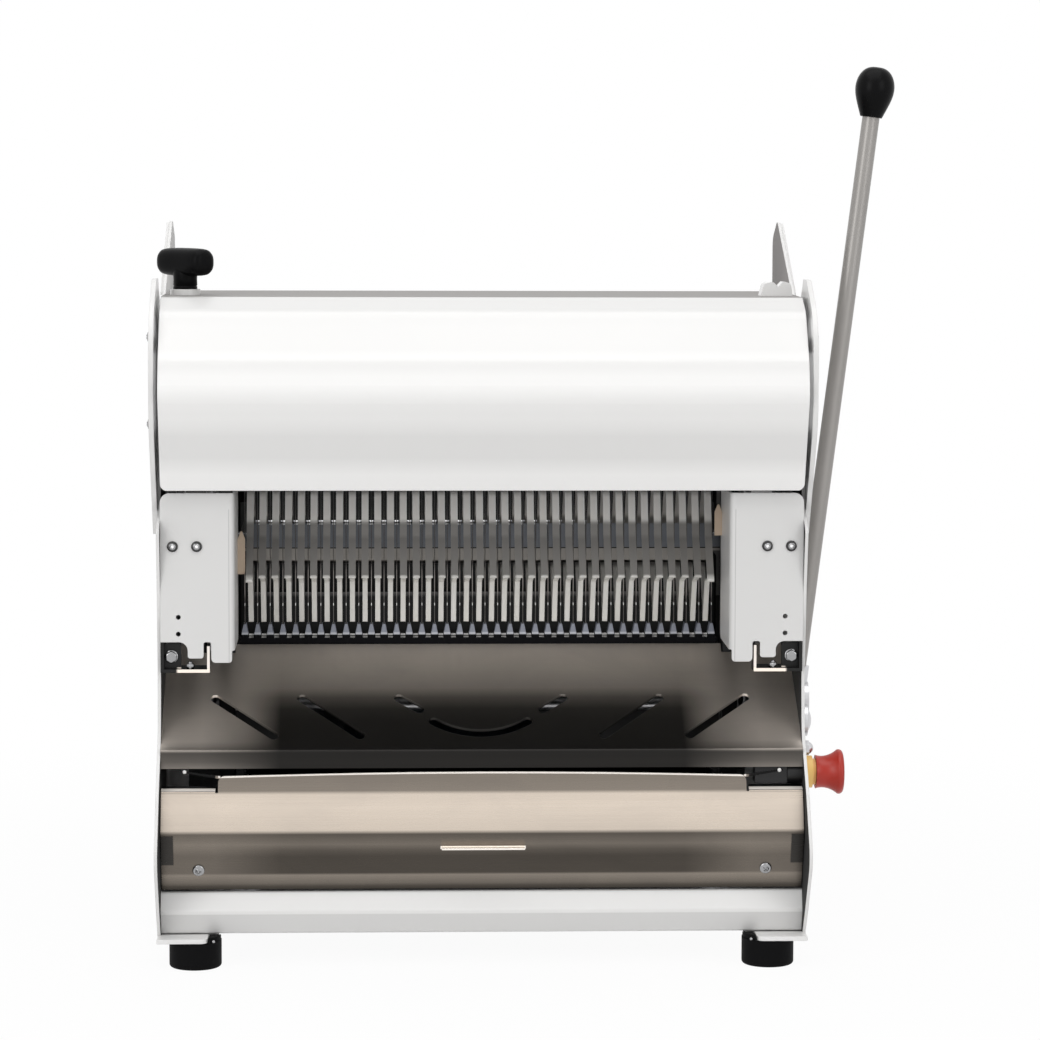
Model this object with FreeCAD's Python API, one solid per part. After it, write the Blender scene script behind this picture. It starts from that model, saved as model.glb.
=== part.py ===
"""Bench bread slicer: two counter-moving blade frames, a lever-fed pusher comb, hood, table and crumb tray.

Millimetres. X to the right, Y away from the operator, Z up.
The origin is the centre of the base on the bench.
Every function makes one node: a list of separate solids, or one solid.
"""
import FreeCAD, Part
import math
import os

V = FreeCAD.Vector
AXIS_X = V(1, 0, 0)
AXIS_Y = V(0, 1, 0)
AXIS_Z = V(0, 0, 1)
LEFT = -1
RIGHT = 1
SIDES = (LEFT, RIGHT)

# ---------------------------------------------------------------- slicing values
BLADE_PITCH = 12.0          # slice thickness
BLADES_PER_FRAME = 19       # each of the two frames
BLADE_SHEET = 0.6
BLADE_WIDTH = 12.0
BLADE_NECK = 5.0            # narrow ends that pass the other frame's beam
TOOTH_PITCH = 12.0
TOOTH_DEPTH = 2.2
BLADE_Y = -92.0             # middle plane of all the blades
THROAT_CLEAR = 1.0          # outermost gap's middle to the throat wall
THROAT_HEIGHT = 147.5       # hopper floor to the hood's lower edge
FLOOR_Z = 289.5             # top of the hopper floor
FLOOR_SHEET = 4.0
RUN_CLEAR = 0.05            # radial clearance of a running fit
SLIDE_CLEAR = 0.5           # side clearance of a sliding fit
SEAT_GAP = 0.3              # clearance where a moving piece rests on its seat

# ---------------------------------------------------------------- widths of the side bay, throat outwards
WALL_SHEET = 2.0
UPRIGHT_GAP = 3.0
UPRIGHT_WIDTH = 14.0
BLOCK_WIDTH = 16.0
CARRIAGE_GAP = 2.0
CARRIAGE_WIDTH = 20.0
ARM_GAP = 3.0
ARM_SHEET = 5.0
BAY_CLEAR = 3.0
FRAME_SHEET = 3.0           # side frame plate
COVER_SHEET = 4.5           # outer side cover

BLADE_COUNT = 2 * BLADES_PER_FRAME
THROAT_HALF = BLADE_COUNT * BLADE_PITCH / 2 - THROAT_CLEAR
UPRIGHT_IN = THROAT_HALF + WALL_SHEET + UPRIGHT_GAP
UPRIGHT_OUT = UPRIGHT_IN + UPRIGHT_WIDTH
BLOCK_OUT = UPRIGHT_OUT + BLOCK_WIDTH
GUIDE_X = (UPRIGHT_OUT + BLOCK_OUT) / 2
CARRIAGE_IN = BLOCK_OUT + CARRIAGE_GAP
CARRIAGE_OUT = CARRIAGE_IN + CARRIAGE_WIDTH
RAIL_X = (CARRIAGE_IN + CARRIAGE_OUT) / 2
ARM_IN = CARRIAGE_OUT + ARM_GAP
ARM_OUT = ARM_IN + ARM_SHEET
INNER = ARM_OUT + BAY_CLEAR         # inner face of a side frame
OUTER = INNER + FRAME_SHEET         # its outer face
COVER_OUT = OUTER + COVER_SHEET

# ---------------------------------------------------------------- base and frame
FOOT_HEIGHT = 25.0
FOOT_RADIUS = 24.0
FOOT_ROUND = 3.0
FOOT_Y = 235.0
FOOT_INSET = 31.5
FOOT_BOLT = 4.5             # radius of the bolt hole through foot and flange
FLANGE_WIDTH = 52.0         # bottom flange of a side frame, turned inwards
BACK_Y = 294.0              # rear face of the machine
BACK_TOP_Z = 455.0
BACK_RISE = 100.0           # rise of the sloping back edge up to the fin
BACK_TURN = 40.0            # depth of the rear cover's turned top
DECK_Z = 613.5              # top of the hood
FIN_RISE = 67.0             # fin tip above the hood
FIN_FRONT_Y = -112.0
FIN_TIP_Y = 22.0
FIN_BACK_Y = 62.0
FIN_RIM = 2.5               # rim turned out along the fin's front edge
CHEEK_Y = -225.0            # front face of the cheek plates
COVER_FOOT_Z = 395.0        # lower edge of the outer side covers
COVER_DROP = 7.5            # flat top of the covers below the hood's
COVER_CREST = 16.0          # crest of the cover above the hood
COVER_NOSE_Y = -265.0
COVER_BACK_Y = 60.0
COVER_SCREW = 5.0           # radius of the cover screws' heads
COVER_SCREW_HEIGHT = 3.2
PAN_SCREW = 5.6             # radius of the pan heads on cheeks and tray
PAN_SCREW_HEIGHT = 3.1
VENT_ROWS = 3
VENT_COUNT = 9
VENT_PITCH = 10.0
VENT_LENGTH = 46.0
VENT_BRIDGE = 34.0
VENT_WIDTH = 5.0
VENT_Z = 120.0              # middle of the vents in the back
GLAND_X = -180.0            # cable gland in the back
GLAND_Z = 70.0

# ---------------------------------------------------------------- hood
HOOD_GAP = 1.0              # hood to side frame
HOOD_SHEET = 2.0
HOOD_BACK_Y = -30.0
HOOD_LIP = 26.0
HINGE_RADIUS = 5.0
HINGE_LUG = 14.0            # width of a hinge lug along the pin
HINGE_DROP = 11.5           # hinge pin below the hood's top
HOOD_NOSE_Y = -273.0
HOOD_FOOT_Y = -234.0
HOOD_BEND = 24.0            # bend radius of the hood
HOOD_CORNER = 7.0           # rounding of its two lower corners
KNOB_INSET = 21.0           # clamp screw inside the frame's inner face
KNOB_Y = -160.0
COLLAR_RADIUS = 14.0
COLLAR_HEIGHT = 5.5
CLAMP_SCREW = 5.0
CLAMP_ROOM = 1.5            # clamp screw to the hole in the hood
STEM_RADIUS = 11.2
STEM_HEIGHT = 13.0
GRIP_RADIUS = 13.0
GRIP_LENGTH = 72.0
GRIP_TURN = -45.0           # degrees
BRACKET_REACH = 36.0        # clamp bracket, from the frame inwards
BRACKET_LEG = 40.0
BRACKET_SHEET = 4.0

# ---------------------------------------------------------------- cheeks beside the mouth
CHEEK_FOOT_Z = 279.0
CHEEK_TOP_GAP = 2.5         # cheek below the hood's foot
CHEEK_RETURN = 90.0
CHEEK_BEND = 5.5
CHEEK_STEP = 19.0           # stepped foot and slot above the cheek's lower edge
CHEEK_SCREW_Z = 386.0
CHEEK_SCREW_INSETS = (33.5, 11.5)
CHEEK_HOLE_INSET = 16.5
CHEEK_HOLE_HEIGHTS = (321.0, 305.5)
ANGLE_TOP_Z = 272.5         # angle bracket under each cheek
ANGLE_SHEET = 3.0
ANGLE_REACH = 44.0
BOLT_INSET = 9.5
BOLT_Z = 283.5
BOLT_WASHER = 6.2
STRIP_WIDTH = 7.0           # pointed strips in the throat
STRIP_SHEET = 2.0
STRIP_POINT = 9.0
STRIPS = {LEFT: (352.0, 394.0), RIGHT: (388.0, 419.0)}

# ---------------------------------------------------------------- table, tray and beam
SHEET = 2.0                 # bent stainless sheet
TABLE_REAR_Y = -101.0
TABLE_REAR_Z = 280.0
TABLE_CREASE_Y = -235.0
TABLE_CREASE_Z = 199.0
TABLE_LIP = 16.0
SLOT_WIDTH = 9.2
TABLE_SLOTS = [             # centre x, centre y, length, degrees from the X axis
    (219.5, -193.5, 81, 40), (139.5, -193.5, 80, 40.5), (67, -177.5, 33, 37),
]
SMILE_RADIUS = 72.0
SMILE_SPAN = 87.0
SMILE_Y = -214.0
SMILE_X = -1.0
TRAY_TOP_Z = 179.5
TRAY_SIDE_Z = 166.0         # top of the tray front beside its raised middle
TRAY_BEND_Z = 163.0
TRAY_NOSE_Y = -257.0
TRAY_NOSE_Z = 128.0
TRAY_CREASE_Y = -244.0
TRAY_CREASE_Z = 86.5
TRAY_FOOT_Y = -238.0
TRAY_FOOT_Z = 71.5
TRAY_INSET = 5.0            # throat wall to the drawer box
TRAY_BACK_Y = -62.0
TRAY_FLOOR_Z = 86.0
TRAY_FRONT_GAP = 1.0        # tray front to side frame
FLANGE_INSET = 53.0         # frame to the raised middle part of the tray front
RELIEF = 2.5                # width of the slits beside the raised part
GUSSET_INSET = 19.0
PULL_HALF = 38.0
PULL_SHEET = 1.6
TAB_TOP_Z = 124.0
TAB_FOOT_Z = 96.0
TAB_WIDTH = 11.5
TAB_SHEET = 0.8
TRAY_SCREW_INSET = 35.0
TRAY_SCREW_Z = 90.8
LEDGE_Y = (-208.0, -180.0)  # lug that carries each tray runner
RUNNER_Y = -225.0           # front end of the runners
BEAM_Y = -241.0
BEAM_Z = 52.0
BEAM_TOP_Z = 69.0
BEAM_FOOT_Z = 29.5

# ---------------------------------------------------------------- drive
GUIDE_RADIUS = 4.0
GUIDE_FOOT_Z = 201.0
GUIDE_TOP_Z = 558.0
GUIDE_BRACKET = 12.0
BEAM_DEPTH = 18.0           # blade frame beam, along Y
BEAM_HEIGHT = 16.0
FRAME_SPLIT = 2.0           # gap between the two frames' beams
LOW_BEAM_Z = 232.0          # underside of the lower beams
HIGH_BEAM_Z = 513.0         # underside of the upper beams
NECK_LENGTH = 22.0          # blade neck clear of the beams
SEAT_DEPTH = 8.0            # blade end in its beam
ROCKER_ARM = 40.0
ROCKER_SWING = 14.0         # degrees each way
ROCKER_Z = 62.0
ROCKER_RADIUS = 10.0
BEARING_RADIUS = 22.0       # flanges of the rocker's bearings
BEARING_DEPTH = 10.0
DRIVE_PIN = 5.0
DRIVE_ARM = 80.0
ROD_LENGTH = 58.0
ROD_EYE = 10.0
ROD_SHEET = 8.0
CRANK_PIN = 5.0
CRANK_X = -96.0             # outer face of the crank disc
CRANK_DISC = 10.0
CRANK_RADIUS = 9.0
PULLEY_X = -160.0
PULLEY_WIDTH = 16.0
BIG_PULLEY = 52.0
SMALL_PULLEY = 24.0
PULLEY_RIM = 3.0
BELT_SHEET = 4.0
BELT_WIDTH = 11.0
MOTOR_Y = 175.0
MOTOR_Z = 118.0
MOTOR_RADIUS = 68.0
MOTOR_LENGTH = 215.0
MOTOR_SHAFT = 8.0
MOTOR_GAP = 22.0            # pulley to motor
WEDGE_BASE = 6.4            # wedge beside a blade, at the floor
WEDGE_RISE = 9.5
WALL_BACK_Y = 250.0
RAIL_SLOT = 24.0

# ---------------------------------------------------------------- pusher and lever
LEVER_Z = 212.0
LEVER_SWING = 55.0          # degrees from upright to the loading position
PIN_RISE = 250.0            # pusher pin above the cross shaft
SHAFT_RADIUS = 10.0
RAIL_RADIUS = 6.0
RAIL_Z = 373.0
ROLLER_RADIUS = 6.0
LEVER_LEAN = 7.1            # degrees outwards
LEVER_RADIUS = 8.4
LEVER_TOP_Z = 781.5
LEVER_HUB = 17.0
FINGER_TOP = 6.6            # finger width above the fold
FINGER_LOW = 4.7            # and below it
FINGER_SHEET = 2.0
END_DROP = 4.0              # first and last fold lie lower
BAR_Y = -64.0               # front face of the pusher bar
TUBE = 16.0
RAIL_ENDS = (-168.0, 244.0)
SLOT_SLACK = 4.4            # slot side clearance: the roller's path is straight, the arm's an arc
HUB_LENGTH = 28.0
KNOB_LENGTH = 48.5
KNOB_RADIUS = 18.9

# ---------------------------------------------------------------- emergency stop
STOP_Y = -222.0
STOP_Z = 176.0
STOP_NECK = 11.0
STOP_RING = 14.8
STOP_RING_HEIGHT = 6.5
STOP_COLLAR = 12.0
STOP_TRAVEL = 3.0
STOP_SHAFT = 8.0
STOP_THREAD = 14.0          # length of the neck inside the frame
STOP_BLOCK = 18.0
STOP_BLOCK_LENGTH = 30.0

# ---------------------------------------------------------------- worked out
FRAME_TRAVEL = ROCKER_ARM * math.radians(ROCKER_SWING)
CRANK_THROW = DRIVE_ARM * math.sin(math.radians(ROCKER_SWING))
CRANK_Y = BLADE_Y + DRIVE_ARM + CRANK_THROW
CRANK_Z = ROCKER_Z + ROD_LENGTH
HALF_STROKE = PIN_RISE * math.tan(math.radians(LEVER_SWING / 2))
TABLE_SLOPE = (TABLE_REAR_Z - TABLE_CREASE_Z) / (TABLE_REAR_Y - TABLE_CREASE_Y)
HOOD_FOOT_Z = FLOOR_Z + THROAT_HEIGHT + SLIDE_CLEAR
HOOD_HINGE_Z = DECK_Z - HINGE_DROP
HOOD_HINGE_Y = HOOD_BACK_Y - 12
FIN_TIP_Z = DECK_Z + FIN_RISE
TRAY_HALF = THROAT_HALF - TRAY_INSET
COVER_TOP_Z = DECK_Z - COVER_DROP
COVER_SCREW_PLACES = [
    (-236, DECK_Z - 35.5), (-236, COVER_FOOT_Z + 104), (40, DECK_Z - 40.5), (40, COVER_FOOT_Z + 25),
]
KNOB_X = INNER - KNOB_INSET
CHEEK_TOP_Z = HOOD_FOOT_Z - CHEEK_TOP_GAP
BOLT_X = INNER - BOLT_INSET
FLANGE_SEGMENT = INNER - FLANGE_INSET
TRAY_SCREW_X = INNER - TRAY_SCREW_INSET
WALL_FRONT_Y = BLADE_Y + FRAME_SPLIT / 2 + BEAM_DEPTH + 5
WALL_TOP_Z = HOOD_FOOT_Z
FINGER_TIP_Y = BLADE_Y - 3
FINGER_ROOT_Y = BLADE_Y + BLADE_WIDTH / 2 + 3
ROD_PLANE = CRANK_X + CRANK_PIN + 3     # near face of the connecting rod
MOTOR_FACE = PULLEY_X + PULLEY_WIDTH / 2 + MOTOR_GAP
HUB_START = OUTER + SEAT_GAP


# ================================================================ geometry helpers
def box(x0, x1, y0, y1, z0, z1):
    return Part.makeBox(x1 - x0, y1 - y0, z1 - z0, V(x0, y0, z0))


def rod(start, axis, radius, length):
    return Part.makeCylinder(radius, length, start, axis)


def ring(start, axis, outer, inner, length):
    return rod(start, axis, outer, length).cut(rod(start, axis, inner, length))


def fuse(*shapes):
    return shapes[0].multiFuse(list(shapes[1:])).removeSplitter()


def mirrored(shape):
    return shape.mirror(V(0, 0, 0), AXIS_X)


def sided(shape, side):
    """The right-hand shape, or its mirror image on the left."""
    return shape if side == RIGHT else mirrored(shape)


def outline(corners, place):
    """Closed wire through (a, b, radius) corners, each rounded to its radius."""
    count = len(corners)
    legs = []
    for i in range(count):
        a, b, radius = corners[i]
        here = V(a, b, 0)
        back = (V(corners[i - 1][0], corners[i - 1][1], 0) - here).normalize()
        ahead = (V(corners[(i + 1) % count][0], corners[(i + 1) % count][1], 0) - here).normalize()
        half = back.getAngle(ahead) / 2
        if radius <= 0 or abs(half - math.pi / 2) < 1e-4:
            legs.append((here, None, here))
            continue
        reach = radius / math.tan(half)
        middle = here + (back + ahead).normalize() * (radius / math.sin(half) - radius)
        legs.append((here + back * reach, middle, here + ahead * reach))
    edges = []
    for i in range(count):
        enter, middle, leave = legs[i]
        if middle is not None:
            edges.append(Part.Arc(place(enter), place(middle), place(leave)).toShape())
        following = legs[(i + 1) % count][0]
        if (following - leave).Length > 1e-5:
            edges.append(Part.LineSegment(place(leave), place(following)).toShape())
    return Part.Wire(edges)


def along_x(corners, x0, x1):
    """(y, z, radius) outline drawn out from x0 to x1."""
    return Part.Face(outline(corners, lambda p: V(x0, p.x, p.y))).extrude(V(x1 - x0, 0, 0))


def along_y(corners, y0, y1):
    """(x, z, radius) outline drawn out from y0 to y1."""
    return Part.Face(outline(corners, lambda p: V(p.x, y0, p.y))).extrude(V(0, y1 - y0, 0))


def along_z(corners, z0, z1):
    """(x, y, radius) outline drawn out from z0 to z1."""
    return Part.Face(outline(corners, lambda p: V(p.x, p.y, z0))).extrude(V(0, 0, z1 - z0))


def sheet_section(path, sheet):
    """Outline of a bent sheet: the path is its outer face, and the sheet lies to its left."""
    outer = []
    inner = []
    last = len(path) - 1
    for i, (a, b, radius) in enumerate(path):
        here = V(a, b, 0)
        legs = []
        if i > 0:
            legs.append((here - V(path[i - 1][0], path[i - 1][1], 0)).normalize())
        if i < last:
            legs.append((V(path[i + 1][0], path[i + 1][1], 0) - here).normalize())
        normals = [V(-leg.y, leg.x, 0) for leg in legs]
        if len(legs) == 1:
            shift = normals[0] * sheet
            turned = 0
        else:
            mean = (normals[0] + normals[1]).normalize()
            shift = mean * (sheet / mean.dot(normals[0]))
            turned = legs[0].cross(legs[1]).z
        outer.append((a, b, radius))
        other = radius - sheet if turned > 0 else radius + sheet
        far = here + shift
        inner.append((far.x, far.y, max(other, 0) if radius > 0 and turned else 0))
    return outer + inner[::-1]


def table_z(y):
    """Height of the outfeed table's upper face."""
    return TABLE_REAR_Z + (y - TABLE_REAR_Y) * TABLE_SLOPE


def blade_x(number):
    """Place of blade 0 to BLADE_COUNT - 1, counted from the left."""
    return (number - (BLADE_COUNT - 1) / 2) * BLADE_PITCH


def finger_x(number):
    """Place of a finger, midway between two blades."""
    return (number - (BLADE_COUNT - 2) / 2) * BLADE_PITCH


# ================================================================ side frames and covers
def frame_outline():
    """Side frame seen from the right: a bowed front, the rising fin and the sloping back."""
    return [
        (-238, FOOT_HEIGHT, 5), (-262, 55, 30), (-298, 107, 26), (-262, 162, 24), (-221, 212, 45),
        (-216, 262, 90), (-226, 350, 60), (-237, COVER_FOOT_Z + 6, 6), (-205, 425, 25),
        (-196, DECK_Z - 10, 12), (FIN_FRONT_Y, DECK_Z - 2, 6), (FIN_TIP_Y, FIN_TIP_Z, 14),
        (FIN_BACK_Y, FIN_TIP_Z - 18, 14), (FIN_BACK_Y, BACK_TOP_Z + BACK_RISE, 30),
        (BACK_Y, BACK_TOP_Z, 25), (BACK_Y, FOOT_HEIGHT, 5),
    ]


def fin_rim():
    """Narrow rim turned outwards along the fin's sloping front edge."""
    start = V(FIN_FRONT_Y + 12, DECK_Z - 2, 0)
    run = V(FIN_TIP_Y - 4, FIN_TIP_Z - 3, 0)
    start = start + (run - start) * 0.03
    across = V(run.y - start.y, start.x - run.x, 0).normalize() * FRAME_SHEET
    corners = [start, run, run + across, start + across]
    return along_x([(c.x, c.y, 0) for c in corners], OUTER, OUTER + FIN_RIM)


def side_frame(side):
    plate = along_x(frame_outline(), INNER, OUTER)
    flange = box(INNER - FLANGE_WIDTH, INNER, -FOOT_Y, BACK_Y - 6, FOOT_HEIGHT, FOOT_HEIGHT + FRAME_SHEET)
    flange = flange.makeFillet(FLANGE_WIDTH / 6, [e for e in flange.Edges if on_inner_corner(e)])
    frame = fuse(plate, flange, fin_rim())
    frame = frame.cut([foot_bolt(RIGHT, y, FOOT_HEIGHT + FRAME_SHEET + 1) for y in (-FOOT_Y, FOOT_Y)])
    if side == RIGHT:
        frame = frame.cut(rod(V(INNER - 1, 0, LEVER_Z), AXIS_X, SHAFT_RADIUS + 4, FRAME_SHEET + 2))
        frame = frame.cut(rod(V(INNER - 1, STOP_Y, STOP_Z), AXIS_X, STOP_NECK + SEAT_GAP, FRAME_SHEET + 2))
        return frame
    return mirrored(frame)


def on_inner_corner(edge):
    """The two upright edges at the inner corners of the right bottom flange."""
    ends = [vertex.Point for vertex in edge.Vertexes]
    upright = abs(ends[0].z - ends[1].z) > 0.5
    return upright and max(end.x for end in ends) < INNER - FLANGE_WIDTH / 2


def side_cover(side):
    profile = [
        (-200, COVER_FOOT_Z, 4), (COVER_NOSE_Y, COVER_FOOT_Z + 105, 70), (COVER_NOSE_Y, DECK_Z - 22, 60),
        (-202, DECK_Z + COVER_CREST, 22), (-176, DECK_Z + COVER_CREST, 10),
        (-152, COVER_TOP_Z, 8), (COVER_BACK_Y, COVER_TOP_Z, 14), (COVER_BACK_Y, COVER_FOOT_Z, 14),
    ]
    return sided(along_x(profile, OUTER, COVER_OUT), side)


def domed_head(start, axis, radius, height):
    """Low domed screw head standing on its seat."""
    dome = (radius * radius + height * height) / (2 * height)
    half = math.asin(radius / dome) / 2
    middle = V(dome * math.sin(half), 0, dome * math.cos(half) - dome + height)
    edges = [
        Part.Arc(V(radius, 0, 0), middle, V(0, 0, height)).toShape(),
        Part.LineSegment(V(0, 0, height), V(0, 0, 0)).toShape(),
        Part.LineSegment(V(0, 0, 0), V(radius, 0, 0)).toShape(),
    ]
    head = Part.Face(Part.Wire(edges)).revolve(V(0, 0, 0), AXIS_Z, 360)
    head.Placement = FreeCAD.Placement(start, FreeCAD.Rotation(AXIS_Z, axis))
    return head


def fasteners():
    """Button heads on the outer covers, pan heads on the cheeks and the bracket bolts."""
    heads = bracket_bolts()
    for side in SIDES:
        for y, z in COVER_SCREW_PLACES:
            heads.append(sided(domed_head(V(COVER_OUT, y, z), AXIS_X, COVER_SCREW, COVER_SCREW_HEIGHT), side))
        for inset in CHEEK_SCREW_INSETS:
            seat = V(INNER - inset, CHEEK_Y, CHEEK_SCREW_Z)
            heads.append(sided(domed_head(seat, V(0, -1, 0), PAN_SCREW, PAN_SCREW_HEIGHT), side))
    return heads


def foot_bolt(side, y, top):
    """Tool for the bolt hole of one foot."""
    return rod(V(side * (INNER - FOOT_INSET), y, -1), AXIS_Z, FOOT_BOLT, top + 1)


def feet():
    made = []
    for side in SIDES:
        for y in (-FOOT_Y, FOOT_Y):
            foot = rod(V(side * (INNER - FOOT_INSET), y, 0), AXIS_Z, FOOT_RADIUS, FOOT_HEIGHT)
            low_edge = [e for e in foot.Edges if e.BoundBox.ZMax < 0.1]
            foot = foot.makeFillet(FOOT_ROUND, low_edge)
            made.append(foot.cut(foot_bolt(side, y, FOOT_HEIGHT + 1)))
    return made


def bottom_pan():
    inside = INNER - FLANGE_WIDTH
    return box(-inside, inside, TRAY_BACK_Y + 30, BACK_Y - 6, FOOT_HEIGHT, FOOT_HEIGHT + SHEET)


def front_beam():
    """Bent cross beam under the tray: a sloping top, a nose and a plain lower face."""
    path = [
        (BEAM_Y + 26, BEAM_TOP_Z, 0), (BEAM_Y + 6, BEAM_TOP_Z, 2.5), (BEAM_Y, BEAM_Z, 3),
        (BEAM_Y + 7, BEAM_FOOT_Z, 3), (BEAM_Y + 36, BEAM_FOOT_Z, 0),
    ]
    return along_x(sheet_section(path, SHEET), -INNER, INNER)


def rear_cover():
    """Upright back with vents and a sloping top that follows the side frames."""
    slope = BACK_RISE / (FIN_BACK_Y - BACK_Y)
    top_y = BACK_Y - BACK_TURN
    bend_z = BACK_TOP_Z - 14
    path = [
        (BACK_Y, FOOT_HEIGHT + FRAME_SHEET, 0), (BACK_Y, bend_z, 20),
        (top_y, bend_z + (top_y - BACK_Y) * slope, 0),
    ]
    cover = along_x(sheet_section(path, SHEET), -INNER, INNER)
    slots = []
    for row in range(VENT_ROWS):
        for column in range(VENT_COUNT):
            x = (row - (VENT_ROWS - 1) / 2) * (VENT_LENGTH + VENT_BRIDGE)
            z = VENT_Z + (column - (VENT_COUNT - 1) / 2) * VENT_PITCH
            half = VENT_LENGTH / 2
            slots.append(box(x - half, x + half, BACK_Y - 10, BACK_Y + 1, z, z + VENT_WIDTH))
    return cover.cut(slots)


# ================================================================ hood
def hood():
    half = INNER - HOOD_GAP
    path = [
        (HOOD_BACK_Y, DECK_Z - HOOD_LIP, 0), (HOOD_BACK_Y, DECK_Z, 5), (HOOD_NOSE_Y + 68, DECK_Z, 18),
        (HOOD_NOSE_Y + 39, DECK_Z - 13, HOOD_BEND), (HOOD_NOSE_Y + 9, DECK_Z - 56, HOOD_BEND),
        (HOOD_NOSE_Y, DECK_Z - 86, HOOD_BEND), (HOOD_FOOT_Y, HOOD_FOOT_Z, 2),
        (HOOD_FOOT_Y + 9, HOOD_FOOT_Z, 0),
    ]
    shell = along_x(sheet_section(path, HOOD_SHEET), -half, half)
    front, back = HOOD_NOSE_Y - 5, HOOD_FOOT_Y + 12
    for side in SIDES:
        notch = box(half - HOOD_CORNER, half + 1, front, back, HOOD_FOOT_Z - 1, HOOD_FOOT_Z + HOOD_CORNER)
        centre = V(half - HOOD_CORNER, front, HOOD_FOOT_Z + HOOD_CORNER)
        shell = shell.cut(sided(notch.cut(rod(centre, AXIS_Y, HOOD_CORNER, back - front)), side))
    return shell.cut(rod(V(-KNOB_X, KNOB_Y, DECK_Z - 30), AXIS_Z, CLAMP_SCREW + CLAMP_ROOM, 60))


def hood_lugs():
    """Collar under the clamp grip on the left, and the twin-bumped block on the right."""
    seat = V(-KNOB_X, KNOB_Y, DECK_Z)
    collar = ring(seat, AXIS_Z, COLLAR_RADIUS, CLAMP_SCREW + RUN_CLEAR, COLLAR_HEIGHT)
    profile = [
        (KNOB_X - 15, DECK_Z, 0), (KNOB_X - 12, DECK_Z + 12, 4), (KNOB_X - 3, DECK_Z + 13, 3),
        (KNOB_X + 1.5, DECK_Z + 8.5, 1.5), (KNOB_X + 6, DECK_Z + 13.5, 3), (KNOB_X + 13, DECK_Z + 12, 4),
        (KNOB_X + 14.5, DECK_Z, 0),
    ]
    return [collar, along_y(profile, KNOB_Y - 12, KNOB_Y + 12)]


def hood_pins():
    """Hinge pins of the hood, one in each side frame's lug."""
    pins = []
    length = HINGE_LUG + 22
    for side in SIDES:
        pin = rod(V(INNER - length, HOOD_HINGE_Y, HOOD_HINGE_Z), AXIS_X, HINGE_RADIUS, length)
        pins.append(sided(pin, side))
    return pins


def hood_hinges():
    """Hinge ears under the hood's top, turning on the pins."""
    ears = []
    start = INNER - HINGE_LUG - 20
    for side in SIDES:
        block = box(start, start + HINGE_LUG, HOOD_HINGE_Y - 9, HOOD_HINGE_Y + 9 - 3,
                    HOOD_HINGE_Z - 9, DECK_Z - HOOD_SHEET)
        bore = rod(V(start - 1, HOOD_HINGE_Y, HOOD_HINGE_Z), AXIS_X, HINGE_RADIUS + RUN_CLEAR, HINGE_LUG + 2)
        ears.append(sided(block.cut(bore), side))
    return ears


def clamp_knob():
    """T-shaped grip on a stem."""
    base = V(-KNOB_X, KNOB_Y, DECK_Z + COLLAR_HEIGHT)
    stem = rod(base, AXIS_Z, STEM_RADIUS, STEM_HEIGHT + GRIP_RADIUS)
    turn = math.radians(GRIP_TURN)
    direction = V(math.cos(turn), math.sin(turn), 0)
    height = STEM_HEIGHT + GRIP_RADIUS - 1
    straight = GRIP_LENGTH - GRIP_RADIUS
    start = base + V(0, 0, height) - direction * (straight / 2)
    grip = rod(start, direction, GRIP_RADIUS, straight)
    edges = [e for e in grip.Edges if isinstance(e.Curve, Part.Circle)]
    grip = grip.makeFillet(GRIP_RADIUS * 0.55, edges)
    return stem.fuse(grip).removeSplitter()


def clamp_screw():
    depth = HOOD_SHEET + 12
    base = V(-KNOB_X, KNOB_Y, DECK_Z - depth)
    return rod(base, AXIS_Z, CLAMP_SCREW, depth + COLLAR_HEIGHT)


def clamp_bracket():
    """Bracket on the left side frame that the clamp screw draws the hood down to."""
    top = DECK_Z - HOOD_SHEET - SEAT_GAP
    front, back = KNOB_Y - 15, KNOB_Y + 15
    plate = box(-INNER, -INNER + BRACKET_REACH, front, back, top - BRACKET_SHEET, top)
    leg = box(-INNER, -INNER + BRACKET_SHEET, front, back, top - BRACKET_LEG, top)
    hole = rod(V(-KNOB_X, KNOB_Y, top - 6), AXIS_Z, CLAMP_SCREW + 1.2, 10)
    return fuse(plate, leg).cut(hole)


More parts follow.
